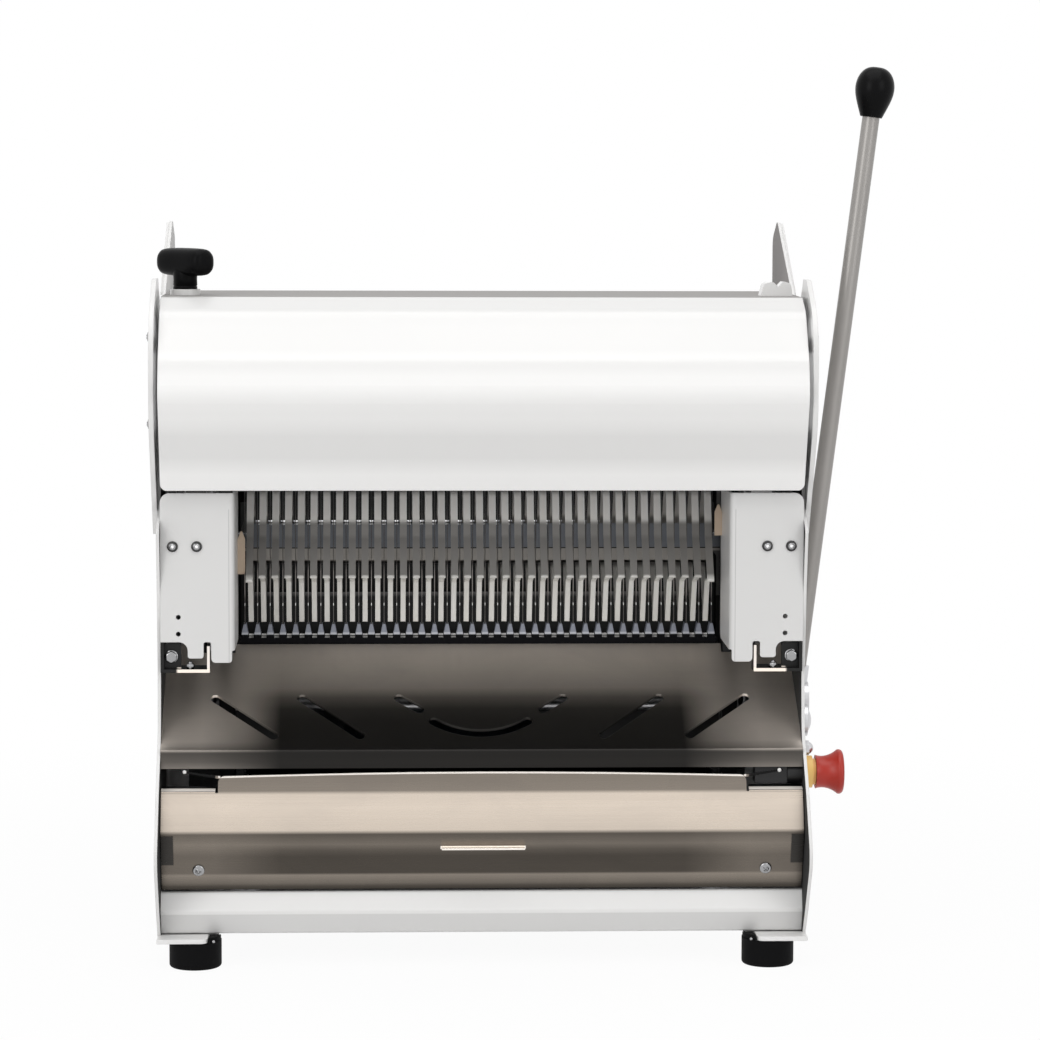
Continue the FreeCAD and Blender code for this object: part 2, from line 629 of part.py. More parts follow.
# ================================================================ cheeks, brackets, table
def cheek(side):
    """Plate beside the mouth: stepped foot with a slot, and a return flange along the throat."""
    back_y = CHEEK_Y + CHEEK_RETURN
    path = [(THROAT_HALF, back_y, 0), (THROAT_HALF, CHEEK_Y, CHEEK_BEND), (INNER, CHEEK_Y, 0)]
    bent = along_z(sheet_section(path, SHEET), CHEEK_FOOT_Z, CHEEK_TOP_Z)
    step = CHEEK_FOOT_Z + CHEEK_STEP
    tongue_out, tongue_in, slot_in = INNER - 25, INNER - 39.5, INNER - 46.5
    face = along_y([
        (THROAT_HALF - 1, CHEEK_FOOT_Z + 11, 0), (THROAT_HALF - 1, CHEEK_TOP_Z, 0), (INNER, CHEEK_TOP_Z, 9),
        (INNER, step, 0), (tongue_out, step, 8), (tongue_out, CHEEK_FOOT_Z + 4, 2.5),
        (tongue_in, CHEEK_FOOT_Z + 4, 2.5), (tongue_in, step, 2), (slot_in, step, 2),
        (slot_in, CHEEK_FOOT_Z, 4), (THROAT_HALF + 2.5, CHEEK_FOOT_Z, 3),
        (THROAT_HALF + 2.5, CHEEK_FOOT_Z + 11, 1),
    ], CHEEK_Y - 1, back_y + 1)
    side_cut = along_x([
        (CHEEK_Y - 1, CHEEK_FOOT_Z - 1, 0), (CHEEK_Y - 1, CHEEK_TOP_Z + 1, 0), (back_y, CHEEK_TOP_Z + 1, 0),
        (back_y, CHEEK_FOOT_Z + 12, 10), (CHEEK_Y + 24, CHEEK_FOOT_Z - 1, 6),
    ], THROAT_HALF - 1, INNER + 1)
    holes = [rod(V(INNER - CHEEK_HOLE_INSET, CHEEK_Y - 1, z), AXIS_Y, 2.2, SHEET + 2)
             for z in CHEEK_HOLE_HEIGHTS]
    return sided(bent.common(face).common(side_cut).cut(holes), side)


def cheek_brackets():
    """Angle under each cheek, bolted to the side frame."""
    made = []
    for side in SIDES:
        y0 = CHEEK_Y + ANGLE_SHEET
        x0 = INNER - ANGLE_REACH
        z0 = ANGLE_TOP_Z - ANGLE_SHEET
        shelf = box(x0, INNER, y0, y0 + 30, z0, ANGLE_TOP_Z)
        wall = box(INNER - ANGLE_SHEET, INNER, y0, y0 + 30, z0, CHEEK_FOOT_Z + 34)
        back = box(BOLT_X - 9, INNER, y0 + 8, y0 + 8 + ANGLE_SHEET, z0, BOLT_Z + 12)
        blade = box(x0 - 1, x0 + 1.5, y0, y0 + 20, z0, CHEEK_FOOT_Z + 15)
        made.append(sided(fuse(shelf, wall, back, blade), side))
    return made


def hexagon(centre, axis, across, height):
    """Hexagon bolt head; axis is -Y or Z."""
    radius = across / math.sqrt(3)
    corners = [(radius * math.cos(math.radians(60 * i)), radius * math.sin(math.radians(60 * i)), 0)
               for i in range(6)]
    if axis == AXIS_Z:
        flat = [(centre.x + a, centre.y + b, 0) for a, b, _ in corners]
        return along_z(flat, centre.z, centre.z + height)
    flat = [(centre.x + a, centre.z + b, 0) for a, b, _ in corners]
    return along_y(flat, centre.y - height, centre.y)


def bracket_bolts():
    made = []
    for side in SIDES:
        front = V(BOLT_X, CHEEK_Y + 11, BOLT_Z)
        washer = rod(front - V(0, 1.2, 0), AXIS_Y, BOLT_WASHER, 1.2)
        head = hexagon(front - V(0, 1.2, 0), AXIS_Y, 9.5, 5.0)
        upright = V(INNER - 27, CHEEK_Y + 6.5, ANGLE_TOP_Z)
        nut = hexagon(upright, AXIS_Z, 6.4, 5.0)
        stud = rod(upright + V(0, 0, 5), AXIS_Z, 2.0, 5.0)
        made += [sided(fuse(washer, head), side), sided(fuse(nut, stud), side)]
    return made


def slot_cutter(x, y, length, degrees):
    """Upright tool for one round-ended slot."""
    straight = length - SLOT_WIDTH
    turn = math.radians(degrees)
    step = V(math.cos(turn), math.sin(turn), 0) * (straight / 2)
    ends = [V(x, y, 0) - step, V(x, y, 0) + step]
    low = TABLE_CREASE_Z - 30
    tall = TABLE_REAR_Z - low
    bar = Part.makeBox(straight, SLOT_WIDTH, tall, V(0, -SLOT_WIDTH / 2, low))
    bar.rotate(V(0, 0, 0), AXIS_Z, degrees)
    bar.translate(ends[0])
    rounds = [rod(end + V(0, 0, low), AXIS_Z, SLOT_WIDTH / 2, tall) for end in ends]
    return fuse(bar, *rounds)


def smile_cutter():
    """Upright tool for the bowed finger slot."""
    low = TABLE_CREASE_Z - 30
    tall = TABLE_REAR_Z - low
    half = math.degrees(math.asin(SMILE_SPAN / 2 / SMILE_RADIUS))
    centre = V(SMILE_X, SMILE_Y + SMILE_RADIUS, low)
    outer = Part.makeCylinder(SMILE_RADIUS + SLOT_WIDTH / 2, tall, centre, AXIS_Z, 2 * half)
    inner = Part.makeCylinder(SMILE_RADIUS - SLOT_WIDTH / 2, tall, centre, AXIS_Z)
    arc = outer.cut(inner)
    arc.rotate(centre, AXIS_Z, -90 - half)
    ends = []
    for sign in SIDES:
        turn = math.radians(-90 + sign * half)
        end = centre + V(math.cos(turn), math.sin(turn), 0) * SMILE_RADIUS
        ends.append(rod(end, AXIS_Z, SLOT_WIDTH / 2, tall))
    return fuse(arc, *ends)


def outfeed_table():
    """Sloping sheet with a turned-down lip, drain slots and the bowed finger slot."""
    path = [
        (TABLE_REAR_Y, TABLE_REAR_Z, 0), (TABLE_CREASE_Y, TABLE_CREASE_Z, 4),
        (TABLE_CREASE_Y - 2, TABLE_CREASE_Z - TABLE_LIP, 0),
    ]
    table = along_x(sheet_section(path, SHEET), -INNER, INNER)
    for side in SIDES:
        front = frame_span(True)[0] - 2 * SLIDE_CLEAR
        bay = box(UPRIGHT_IN - SLIDE_CLEAR - 1, BLOCK_OUT + SLIDE_CLEAR, front, TABLE_REAR_Y + 10,
                  LOW_BEAM_Z, TABLE_REAR_Z + 1)
        table = table.cut(sided(bay, side))
        for x, y, length, degrees in TABLE_SLOTS:
            table = table.cut(slot_cutter(side * x, y, length, side * degrees))
    return table.cut(smile_cutter())


# ================================================================ crumb tray
def crumb_tray():
    """Drawer: a full-width bent front with a raised middle, and a box that catches the crumbs."""
    half = INNER - TRAY_FRONT_GAP
    front_y = TRAY_NOSE_Y
    low = [
        (front_y + 12, TRAY_BEND_Z, 2), (front_y, TRAY_NOSE_Z, 3), (TRAY_CREASE_Y, TRAY_CREASE_Z, 3),
        (TRAY_FOOT_Y, TRAY_FOOT_Z, 0),
    ]
    skin = along_x(sheet_section([(front_y + 26, TRAY_SIDE_Z, 0)] + low, SHEET), -half, half)
    raised = along_x(sheet_section([(front_y + 18, TRAY_TOP_Z + 3, 0)] + low[:2], SHEET),
                     -FLANGE_SEGMENT, FLANGE_SEGMENT)
    raised = raised.common(along_y([
        (-FLANGE_SEGMENT, TRAY_NOSE_Z + 12, 0), (-FLANGE_SEGMENT, TRAY_TOP_Z - 3, 6),
        (0, TRAY_TOP_Z + 2, 8000),
        (FLANGE_SEGMENT, TRAY_TOP_Z - 3, 6), (FLANGE_SEGMENT, TRAY_NOSE_Z + 12, 0),
    ], front_y - 1, front_y + 30))
    bend_z = TRAY_BEND_Z - 1
    middle = box(-FLANGE_SEGMENT, FLANGE_SEGMENT, front_y - 1, front_y + 30, bend_z, TRAY_SIDE_Z + 1)
    slit = box(FLANGE_SEGMENT, FLANGE_SEGMENT + RELIEF, front_y - 1, front_y + 30, bend_z, TRAY_TOP_Z)
    reliefs = [sided(slit, side) for side in SIDES]
    skin = skin.cut([middle] + reliefs)
    ends = []
    for side in SIDES:
        gusset = along_y([
            (FLANGE_SEGMENT - 2, TRAY_TOP_Z - 5.5, 0), (FLANGE_SEGMENT - 2, TRAY_TOP_Z - 3, 0),
            (INNER - GUSSET_INSET, TRAY_TOP_Z + 2.2, 0.6), (INNER - GUSSET_INSET, TRAY_TOP_Z + 0.6, 0.6),
        ], front_y + 16.5, front_y + 18.5)
        tab = along_x(sheet_section([slope_point(TAB_TOP_Z), slope_point(TAB_FOOT_Z)], -TAB_SHEET),
                      half - TAB_WIDTH, half)
        ends += [sided(gusset, side), sided(tab, side)]
    body = box(-TRAY_HALF, TRAY_HALF, front_y + 16, TRAY_BACK_Y, TRAY_FLOOR_Z, bend_z - 1)
    room = box(-TRAY_HALF + SHEET, TRAY_HALF - SHEET, -400, TRAY_BACK_Y - SHEET,
               TRAY_FLOOR_Z + SHEET, TRAY_TOP_Z)
    ahead = along_x([
        (-400, 0, 0), (TRAY_CREASE_Y, 0, 0), (TRAY_CREASE_Y, TRAY_CREASE_Z, 0), (front_y, TRAY_NOSE_Z, 0),
        (front_y + 12, TRAY_BEND_Z, 0), (front_y + 12, 300, 0), (-400, 300, 0),
    ], -half, half)
    drawer = body.cut(room).cut(ahead)
    shelf = box(-TRAY_HALF, TRAY_HALF, TRAY_CREASE_Y + 0.5, front_y + 30, TRAY_FLOOR_Z, TRAY_FLOOR_Z + SHEET)
    lip_z = TRAY_NOSE_Z - 17
    lip = box(-PULL_HALF, PULL_HALF, front_y - 3, front_y + 5.5, lip_z, lip_z + PULL_SHEET)
    return fuse(skin, raised, drawer, shelf, lip, *ends)


def slope_point(z):
    """Point of the tray front's lower slope at a height, as an outline corner."""
    share = (z - TRAY_CREASE_Z) / (TRAY_NOSE_Z - TRAY_CREASE_Z)
    return (TRAY_CREASE_Y + (TRAY_NOSE_Y - TRAY_CREASE_Y) * share, z, 0)


def tray_screws():
    """Screws on the lower slope of the tray front, square to it."""
    slope = V(0, TRAY_CREASE_Y - TRAY_NOSE_Y, TRAY_CREASE_Z - TRAY_NOSE_Z).normalize()
    out = V(0, slope.z, -slope.y)
    seat = V(TRAY_SCREW_X, TRAY_CREASE_Y, TRAY_CREASE_Z) + slope * ((TRAY_SCREW_Z - TRAY_CREASE_Z) / slope.z)
    return [sided(domed_head(seat, out, PAN_SCREW, PAN_SCREW_HEIGHT), side) for side in SIDES]


def tray_runners():
    """Angles on which the drawer slides."""
    made = []
    top = TRAY_FLOOR_Z - SEAT_GAP
    rail_x = TRAY_HALF + SLIDE_CLEAR
    for side in SIDES:
        ledge = box(TRAY_HALF - 14, INNER, *LEDGE_Y, top - SHEET, top)
        strip = box(TRAY_HALF - 14, TRAY_HALF + 7, RUNNER_Y, TRAY_BACK_Y, top - SHEET, top)
        rail = box(rail_x, rail_x + SHEET, RUNNER_Y, TRAY_BACK_Y, top - SHEET, TRAY_FLOOR_Z + 14)
        tab = box(INNER - SHEET, INNER, *LEDGE_Y, top - SHEET, TRAY_FLOOR_Z + 18)
        made.append(sided(fuse(ledge, strip, rail, tab), side))
    return made


# ================================================================ hopper
def hopper_floor():
    """Deck behind the blades; its front edge is a comb whose teeth lie between them."""
    deck = box(-THROAT_HALF, THROAT_HALF, FINGER_ROOT_Y, WALL_BACK_Y, FLOOR_Z - FLOOR_SHEET, FLOOR_Z)
    tooth = BLADE_PITCH - WEDGE_BASE - 2 * SLIDE_CLEAR
    teeth = [box(finger_x(i) - tooth / 2, finger_x(i) + tooth / 2, FINGER_TIP_Y, FINGER_ROOT_Y,
                 FLOOR_Z - FLOOR_SHEET, FLOOR_Z) for i in range(BLADE_COUNT - 1)]
    return fuse(deck, *teeth)


def hopper_wall(side):
    """Side of the loaf space, with the slot for the pusher bar and a rear flange on the side frame."""
    foot = FLOOR_Z - FLOOR_SHEET
    path = [(THROAT_HALF, WALL_FRONT_Y, 0), (THROAT_HALF, WALL_BACK_Y, 3), (INNER, WALL_BACK_Y, 0)]
    wall = along_z(sheet_section(path[::-1], WALL_SHEET), foot, WALL_TOP_Z)
    slot = box(THROAT_HALF - 1, THROAT_HALF + WALL_SHEET + 1, WALL_FRONT_Y - 1, 232,
               RAIL_Z - RAIL_SLOT / 2, RAIL_Z + RAIL_SLOT / 2)
    return sided(wall.cut(slot), side)


def guide_comb(z0, z1, y0, y1, slot_to):
    """Bar with one saw slot for each blade, open to the front."""
    bar = box(-THROAT_HALF, THROAT_HALF, y0, y1, z0, z1)
    slot = BLADE_SHEET + 2 * SLIDE_CLEAR
    cuts = [box(blade_x(i) - slot / 2, blade_x(i) + slot / 2, y0 - 1, slot_to, z0 - 1, z1 + 1)
            for i in range(BLADE_COUNT)]
    return bar.cut(cuts)


def lower_blade_guide():
    """Comb under the floor; a split wedge beside each blade stands up through the floor's comb."""
    top = FLOOR_Z - FLOOR_SHEET
    y0 = TABLE_REAR_Y + 1.5
    bar = box(-THROAT_HALF, THROAT_HALF, y0, FINGER_ROOT_Y + 8, top - 14, top)
    wedges = []
    for i in range(BLADE_COUNT):
        x = blade_x(i)
        half = WEDGE_BASE / 2
        wedges.append(along_y([
            (x - half, top - 1, 0), (x - half, FLOOR_Z, 0), (x - half * 0.4, FLOOR_Z + WEDGE_RISE, 0),
            (x + half * 0.4, FLOOR_Z + WEDGE_RISE, 0), (x + half, FLOOR_Z, 0), (x + half, top - 1, 0),
        ], y0, FINGER_ROOT_Y - 1))
    slot = BLADE_SHEET + 2 * SLIDE_CLEAR
    cuts = [box(blade_x(i) - slot / 2, blade_x(i) + slot / 2, BLADE_Y - BLADE_WIDTH / 2 - SLIDE_CLEAR,
                FINGER_ROOT_Y - 0.5, top - 20, FLOOR_Z + 12) for i in range(BLADE_COUNT)]
    return bar.multiFuse(wedges).cut(cuts)


def upper_blade_guide():
    """Comb above the throat that steadies the blades; its ends are screwed to the hopper walls."""
    y0 = BLADE_Y - BLADE_WIDTH / 2 - 3
    comb = guide_comb(WALL_TOP_Z + 8, WALL_TOP_Z + 22, y0, WALL_FRONT_Y + 10, BLADE_Y + BLADE_WIDTH / 2 + 1)
    ears = []
    for side in SIDES:
        ear = box(THROAT_HALF - 6, THROAT_HALF, WALL_FRONT_Y, WALL_FRONT_Y + 10,
                  WALL_TOP_Z - 25, WALL_TOP_Z + 9)
        ears.append(sided(ear, side))
    return fuse(comb, *ears)


# ================================================================ blade frames
def frame_span(front):
    """Y range of one blade frame's beams."""
    if front:
        return BLADE_Y - FRAME_SPLIT / 2 - BEAM_DEPTH, BLADE_Y - FRAME_SPLIT / 2
    return BLADE_Y + FRAME_SPLIT / 2, BLADE_Y + FRAME_SPLIT / 2 + BEAM_DEPTH


def blade_frame(front):
    """Two slotted beams and two uprights, guide blocks on the rods, and legs down to the rocker."""
    y0, y1 = frame_span(front)
    top = HIGH_BEAM_Z + BEAM_HEIGHT
    parts = [
        box(-UPRIGHT_OUT, UPRIGHT_OUT, y0, y1, LOW_BEAM_Z, LOW_BEAM_Z + BEAM_HEIGHT),
        box(-UPRIGHT_OUT, UPRIGHT_OUT, y0, y1, HIGH_BEAM_Z, top),
    ]
    middle = (y0 + y1) / 2
    pin_y = BLADE_Y - ROCKER_ARM if front else BLADE_Y + ROCKER_ARM
    foot_z = ROCKER_Z - 14
    for side in SIDES:
        upright = box(UPRIGHT_IN, UPRIGHT_OUT, y0, y1, ROCKER_Z + 30, top)
        reach = (y0 - 2, y1) if front else (y0, y1 + 2)
        leg = along_x([
            (pin_y - 15, foot_z, 6), (pin_y - 15, ROCKER_Z + 16, 8), (reach[0], ROCKER_Z + 50, 6),
            (reach[1], ROCKER_Z + 50, 6), (pin_y + 15, ROCKER_Z + 16, 8), (pin_y + 15, foot_z, 6),
        ], UPRIGHT_IN, UPRIGHT_IN + 9)
        parts += [sided(upright, side), sided(leg, side)]
        for z in (LOW_BEAM_Z, top - 24):
            parts.append(sided(box(UPRIGHT_OUT, BLOCK_OUT, y0, y1, z, z + 24), side))
    frame = fuse(*parts)
    cuts = []
    for side in SIDES:
        cuts.append(rod(V(side * GUIDE_X, middle, LOW_BEAM_Z - 1), AXIS_Z, GUIDE_RADIUS + RUN_CLEAR,
                        top - LOW_BEAM_Z + 2))
        slack = ROCKER_ARM * (1 - math.cos(math.radians(ROCKER_SWING))) + 0.6
        tall = DRIVE_PIN + 0.3
        cuts.append(sided(along_x([
            (pin_y - DRIVE_PIN - slack, ROCKER_Z - tall, 3), (pin_y - DRIVE_PIN - slack, ROCKER_Z + tall, 3),
            (pin_y + DRIVE_PIN + slack, ROCKER_Z + tall, 3), (pin_y + DRIVE_PIN + slack, ROCKER_Z - tall, 3),
        ], UPRIGHT_IN - 1, UPRIGHT_OUT + 1), side))
    neck = blade_neck(front)
    saw = BLADE_SHEET + 0.2
    for i in blade_numbers(front):
        x = blade_x(i)
        low = LOW_BEAM_Z + BEAM_HEIGHT - SEAT_DEPTH
        cuts.append(box(x - saw / 2, x + saw / 2, neck[0] - 0.1, neck[1] + 1, low, low + SEAT_DEPTH + 1))
        cuts.append(box(x - saw / 2, x + saw / 2, neck[0] - 0.1, neck[1] + 1, HIGH_BEAM_Z - 1,
                        HIGH_BEAM_Z + SEAT_DEPTH))
    return frame.cut(cuts)


def blade_numbers(front):
    return range(0 if front else 1, BLADE_COUNT, 2)


def blade_neck(front):
    """Y range of a blade's narrow ends: the front frame's are at the blade's back."""
    edge = BLADE_WIDTH / 2
    if front:
        return BLADE_Y - edge, BLADE_Y - edge + BLADE_NECK
    return BLADE_Y + edge - BLADE_NECK, BLADE_Y + edge


def blade(number, front):
    """One blade: toothed along its rear edge, where the loaf comes from."""
    n0, n1 = blade_neck(front)
    back = BLADE_Y - BLADE_WIDTH / 2
    edge = BLADE_Y + BLADE_WIDTH / 2
    low = LOW_BEAM_Z + BEAM_HEIGHT
    z0 = low - SEAT_DEPTH
    z1 = low + NECK_LENGTH
    z2 = HIGH_BEAM_Z - NECK_LENGTH
    z3 = HIGH_BEAM_Z + SEAT_DEPTH
    teeth = int((z2 - z1 - 8) / TOOTH_PITCH)
    first = (z1 + z2 - teeth * TOOTH_PITCH) / 2
    corners = [(n0, z0, 0), (n1, z0, 0), (n1, z1, 0)]
    if front:
        corners.append((edge, z1, 0))
    for tooth in range(teeth):
        z = first + tooth * TOOTH_PITCH
        corners.append((edge, z, 0))
        corners.append((edge - TOOTH_DEPTH, z + TOOTH_PITCH / 2, 0))
    corners.append((edge, first + teeth * TOOTH_PITCH, 0))
    if front:
        corners.append((edge, z2, 0))
    corners += [(n1, z2, 0), (n1, z3, 0), (n0, z3, 0)]
    if not front:
        corners += [(n0, z2, 0), (back, z2, 0), (back, z1, 0), (n0, z1, 0)]
    corners = [c for i, c in enumerate(corners) if c[:2] != corners[i - 1][:2]]
    x = blade_x(number)
    return along_x(corners, x - BLADE_SHEET / 2, x + BLADE_SHEET / 2)


def blades(front):
    return [blade(number, front) for number in blade_numbers(front)]


def guide_rods():
    made = []
    for side in SIDES:
        for front in (True, False):
            y = sum(frame_span(front)) / 2
            start = V(side * GUIDE_X, y, GUIDE_FOOT_Z)
            made.append(rod(start, AXIS_Z, GUIDE_RADIUS, GUIDE_TOP_Z + GUIDE_BRACKET - GUIDE_FOOT_Z))
    return made


def guide_brackets():
    """Blocks on the side frames that hold the ends of the guide rods."""
    y0 = frame_span(True)[0]
    y1 = frame_span(False)[1]
    middles = [sum(frame_span(front)) / 2 for front in (True, False)]
    made = []
    for side in SIDES:
        for z in (GUIDE_FOOT_Z, GUIDE_TOP_Z):
            block = box(UPRIGHT_OUT + 2, INNER, y0, y1, z, z + GUIDE_BRACKET)
            holes = [rod(V(GUIDE_X, middle, z - 1), AXIS_Z, GUIDE_RADIUS, GUIDE_BRACKET + 2)
                     for middle in middles]
            made.append(sided(block.cut(holes), side))
    return made


# ================================================================ rocker, rod, crank, motor
def rocker():
    """Cross shaft with a two-ended beam and pins at each side, and the drive arm to the connecting rod."""
    half = INNER - 2
    parts = [rod(V(-half, BLADE_Y, ROCKER_Z), AXIS_X, ROCKER_RADIUS, 2 * half)]
    for side in SIDES:
        beam = along_x([
            (BLADE_Y - ROCKER_ARM - 9, ROCKER_Z - 8, 8), (BLADE_Y - ROCKER_ARM - 9, ROCKER_Z + 8, 8),
            (BLADE_Y, ROCKER_Z + 15, 20), (BLADE_Y + ROCKER_ARM + 9, ROCKER_Z + 8, 8),
            (BLADE_Y + ROCKER_ARM + 9, ROCKER_Z - 8, 8), (BLADE_Y, ROCKER_Z - 15, 20),
        ], UPRIGHT_IN + 11, UPRIGHT_IN + 21)
        parts.append(sided(beam, side))
        for y in (BLADE_Y - ROCKER_ARM, BLADE_Y + ROCKER_ARM):
            parts.append(sided(rod(V(UPRIGHT_IN - 1, y, ROCKER_Z), AXIS_X, DRIVE_PIN, 20), side))
    end_y = BLADE_Y + DRIVE_ARM
    arm = along_x([
        (BLADE_Y - 14, ROCKER_Z - 13, 12), (BLADE_Y - 14, ROCKER_Z + 13, 12),
        (end_y + ROD_EYE, ROCKER_Z + 8, 7.5), (end_y + ROD_EYE, ROCKER_Z - 8, 7.5),
    ], ROD_PLANE - ROD_SHEET - 1, ROD_PLANE - 1)
    pin = rod(V(ROD_PLANE - 2, end_y, ROCKER_Z), AXIS_X, CRANK_PIN, ROD_SHEET + 1.5)
    return fuse(*parts, arm, pin)


def connecting_rod():
    """Rod from the rocker's drive arm up to the crank pin."""
    end_y = BLADE_Y + DRIVE_ARM
    low = V(ROD_PLANE, end_y, ROCKER_Z)
    high = V(ROD_PLANE, end_y, CRANK_Z)
    shank = box(ROD_PLANE, ROD_PLANE + ROD_SHEET, end_y - 5, end_y + 5, ROCKER_Z, CRANK_Z)
    body = fuse(shank, rod(low, AXIS_X, ROD_EYE, ROD_SHEET), rod(high, AXIS_X, ROD_EYE, ROD_SHEET))
    bores = [rod(end - V(1, 0, 0), AXIS_X, CRANK_PIN + RUN_CLEAR, ROD_SHEET + 2) for end in (low, high)]
    return body.cut(bores)


def crank_shaft():
    """Shaft with the overhung crank disc; its pin stops just short of the connecting rod."""
    start = V(PULLEY_X - PULLEY_WIDTH / 2, CRANK_Y, CRANK_Z)
    shaft = rod(start, AXIS_X, CRANK_RADIUS, CRANK_X - start.x)
    disc = rod(V(CRANK_X - CRANK_DISC, CRANK_Y, CRANK_Z), AXIS_X, CRANK_THROW + 11, CRANK_DISC)
    reach = ROD_PLANE - CRANK_X + 1 - SEAT_GAP
    pin = rod(V(CRANK_X - 1, CRANK_Y - CRANK_THROW, CRANK_Z), AXIS_X, CRANK_PIN, reach)
    return fuse(shaft, disc, pin)


def pulley(y, z, radius, bore):
    """Flat-grooved pulley with two rims."""
    start = PULLEY_X - PULLEY_WIDTH / 2
    wheel = rod(V(start, y, z), AXIS_X, radius + PULLEY_RIM, PULLEY_WIDTH)
    groove = ring(V(PULLEY_X - BELT_WIDTH / 2 - SLIDE_CLEAR, y, z), AXIS_X, radius + PULLEY_RIM + 1, radius,
                  BELT_WIDTH + 2 * SLIDE_CLEAR)
    return wheel.cut([groove, rod(V(start - 1, y, z), AXIS_X, bore, PULLEY_WIDTH + 2)])


def crank_pulley():
    return pulley(CRANK_Y, CRANK_Z, BIG_PULLEY, CRANK_RADIUS)


def motor_pulley():
    wheel = pulley(MOTOR_Y, MOTOR_Z, SMALL_PULLEY, MOTOR_SHAFT)
    start = PULLEY_X - PULLEY_WIDTH / 2
    shaft = rod(V(start, MOTOR_Y, MOTOR_Z), AXIS_X, MOTOR_SHAFT, MOTOR_FACE - start - SEAT_GAP)
    return [wheel, shaft]


def belt_loop(extra):
    """Outline of the belt's path, standing extra off the two pulleys' grooves."""
    big = BIG_PULLEY + extra
    small = SMALL_PULLEY + extra
    a = V(0, CRANK_Y, CRANK_Z)
    b = V(0, MOTOR_Y, MOTOR_Z)
    span = b - a
    lean = math.atan2(span.z, span.y)
    open_angle = math.acos((big - small) / span.Length)
    points = []
    for centre, radius, turn in ((a, big, 1), (b, small, 1)):
        for sign in (1, -1):
            angle = lean + sign * open_angle
            points.append(centre + V(0, math.cos(angle), math.sin(angle)) * radius * turn)
    far_a = a - V(0, math.cos(lean), math.sin(lean)) * big
    far_b = b + V(0, math.cos(lean), math.sin(lean)) * small
    top_a, low_a, top_b, low_b = points
    edges = [
        Part.Arc(top_a, far_a, low_a).toShape(), Part.LineSegment(low_a, low_b).toShape(),
        Part.Arc(low_b, far_b, top_b).toShape(), Part.LineSegment(top_b, top_a).toShape(),
    ]
    loop = Part.Wire(edges)
    loop.translate(V(PULLEY_X - BELT_WIDTH / 2, 0, 0))
    return Part.Face(loop).extrude(V(BELT_WIDTH, 0, 0))


def drive_belt():
    return belt_loop(SEAT_GAP + BELT_SHEET).cut(belt_loop(SEAT_GAP))


def motor():
    """Motor body with end shields, a terminal box on top and a fan cowl."""
    start = V(MOTOR_FACE, MOTOR_Y, MOTOR_Z)
    shield = rod(start, AXIS_X, MOTOR_RADIUS - 6, 12)
    body = rod(start + V(12, 0, 0), AXIS_X, MOTOR_RADIUS, MOTOR_LENGTH - 50)
    cowl = Part.makeCone(MOTOR_RADIUS - 2, MOTOR_RADIUS - 8, 38, start + V(MOTOR_LENGTH - 38, 0, 0), AXIS_X)
    x = MOTOR_FACE + MOTOR_LENGTH / 2
    terminal = box(x - 40, x + 40, MOTOR_Y - 35, MOTOR_Y + 35, MOTOR_Z + 40, MOTOR_Z + MOTOR_RADIUS + 22)
    return fuse(shield, body, cowl, terminal).cut(
        rod(start - V(1, 0, 0), AXIS_X, MOTOR_SHAFT + RUN_CLEAR, 14))


def motor_bracket():
    """Foot plate with two saddles under the motor."""
    base = FOOT_HEIGHT + SHEET
    x0 = MOTOR_FACE + 20
    x1 = x0 + MOTOR_LENGTH - 80
    plate = box(x0, x1, MOTOR_Y - 60, MOTOR_Y + 60, base, base + 5)
    saddles = [box(x, x + 10, MOTOR_Y - 42, MOTOR_Y + 42, base, MOTOR_Z) for x in (x0, x1 - 10)]
    return fuse(plate, *saddles).cut(rod(V(x0 - 1, MOTOR_Y, MOTOR_Z), AXIS_X, MOTOR_RADIUS, x1 - x0 + 2))


def crank_bearings():
    """Two pillow blocks on a stand behind the crumb tray."""
    base = FOOT_HEIGHT + SHEET
    made = []
    for x in (CRANK_X - CRANK_DISC - 20, PULLEY_X + PULLEY_WIDTH / 2 + 4):
        block = along_x([
            (CRANK_Y - 20, base, 0), (CRANK_Y - 20, CRANK_Z - 4, 6), (CRANK_Y - 14, CRANK_Z + 18, 12),
            (CRANK_Y + 14, CRANK_Z + 18, 12), (CRANK_Y + 20, CRANK_Z - 4, 6), (CRANK_Y + 20, base, 0),
        ], x, x + 14)
        made.append(block.cut(rod(V(x - 1, CRANK_Y, CRANK_Z), AXIS_X, CRANK_RADIUS + RUN_CLEAR, 16)))
    return made


def flange_bearings(y, z, radius, outer, depth):
    """Round flanged bearings on the inner faces of the side frames."""
    body = ring(V(INNER - depth, y, z), AXIS_X, outer, radius + RUN_CLEAR, depth)
    return [sided(body, side) for side in SIDES]


def shaft_bearings():
    """Bearings of the rocker and of the lever shaft."""
    low = flange_bearings(BLADE_Y, ROCKER_Z, ROCKER_RADIUS, BEARING_RADIUS, BEARING_DEPTH)
    return low + flange_bearings(0, LEVER_Z, SHAFT_RADIUS, BEARING_RADIUS + 2, BAY_CLEAR - SEAT_GAP)


def power_inlet():
    """Cable gland on the back."""
    seat = V(GLAND_X, BACK_Y, GLAND_Z)
    flange = rod(seat, AXIS_Y, 13, 3)
    neck = hexagon(seat + V(0, 10, 0), AXIS_Y, 20, 7)
    cap = rod(seat + V(0, 10, 0), AXIS_Y, 9.5, 10)
    return fuse(flange, neck, cap).cut(rod(seat + V(0, 3, 0), AXIS_Y, 4.5, 20))


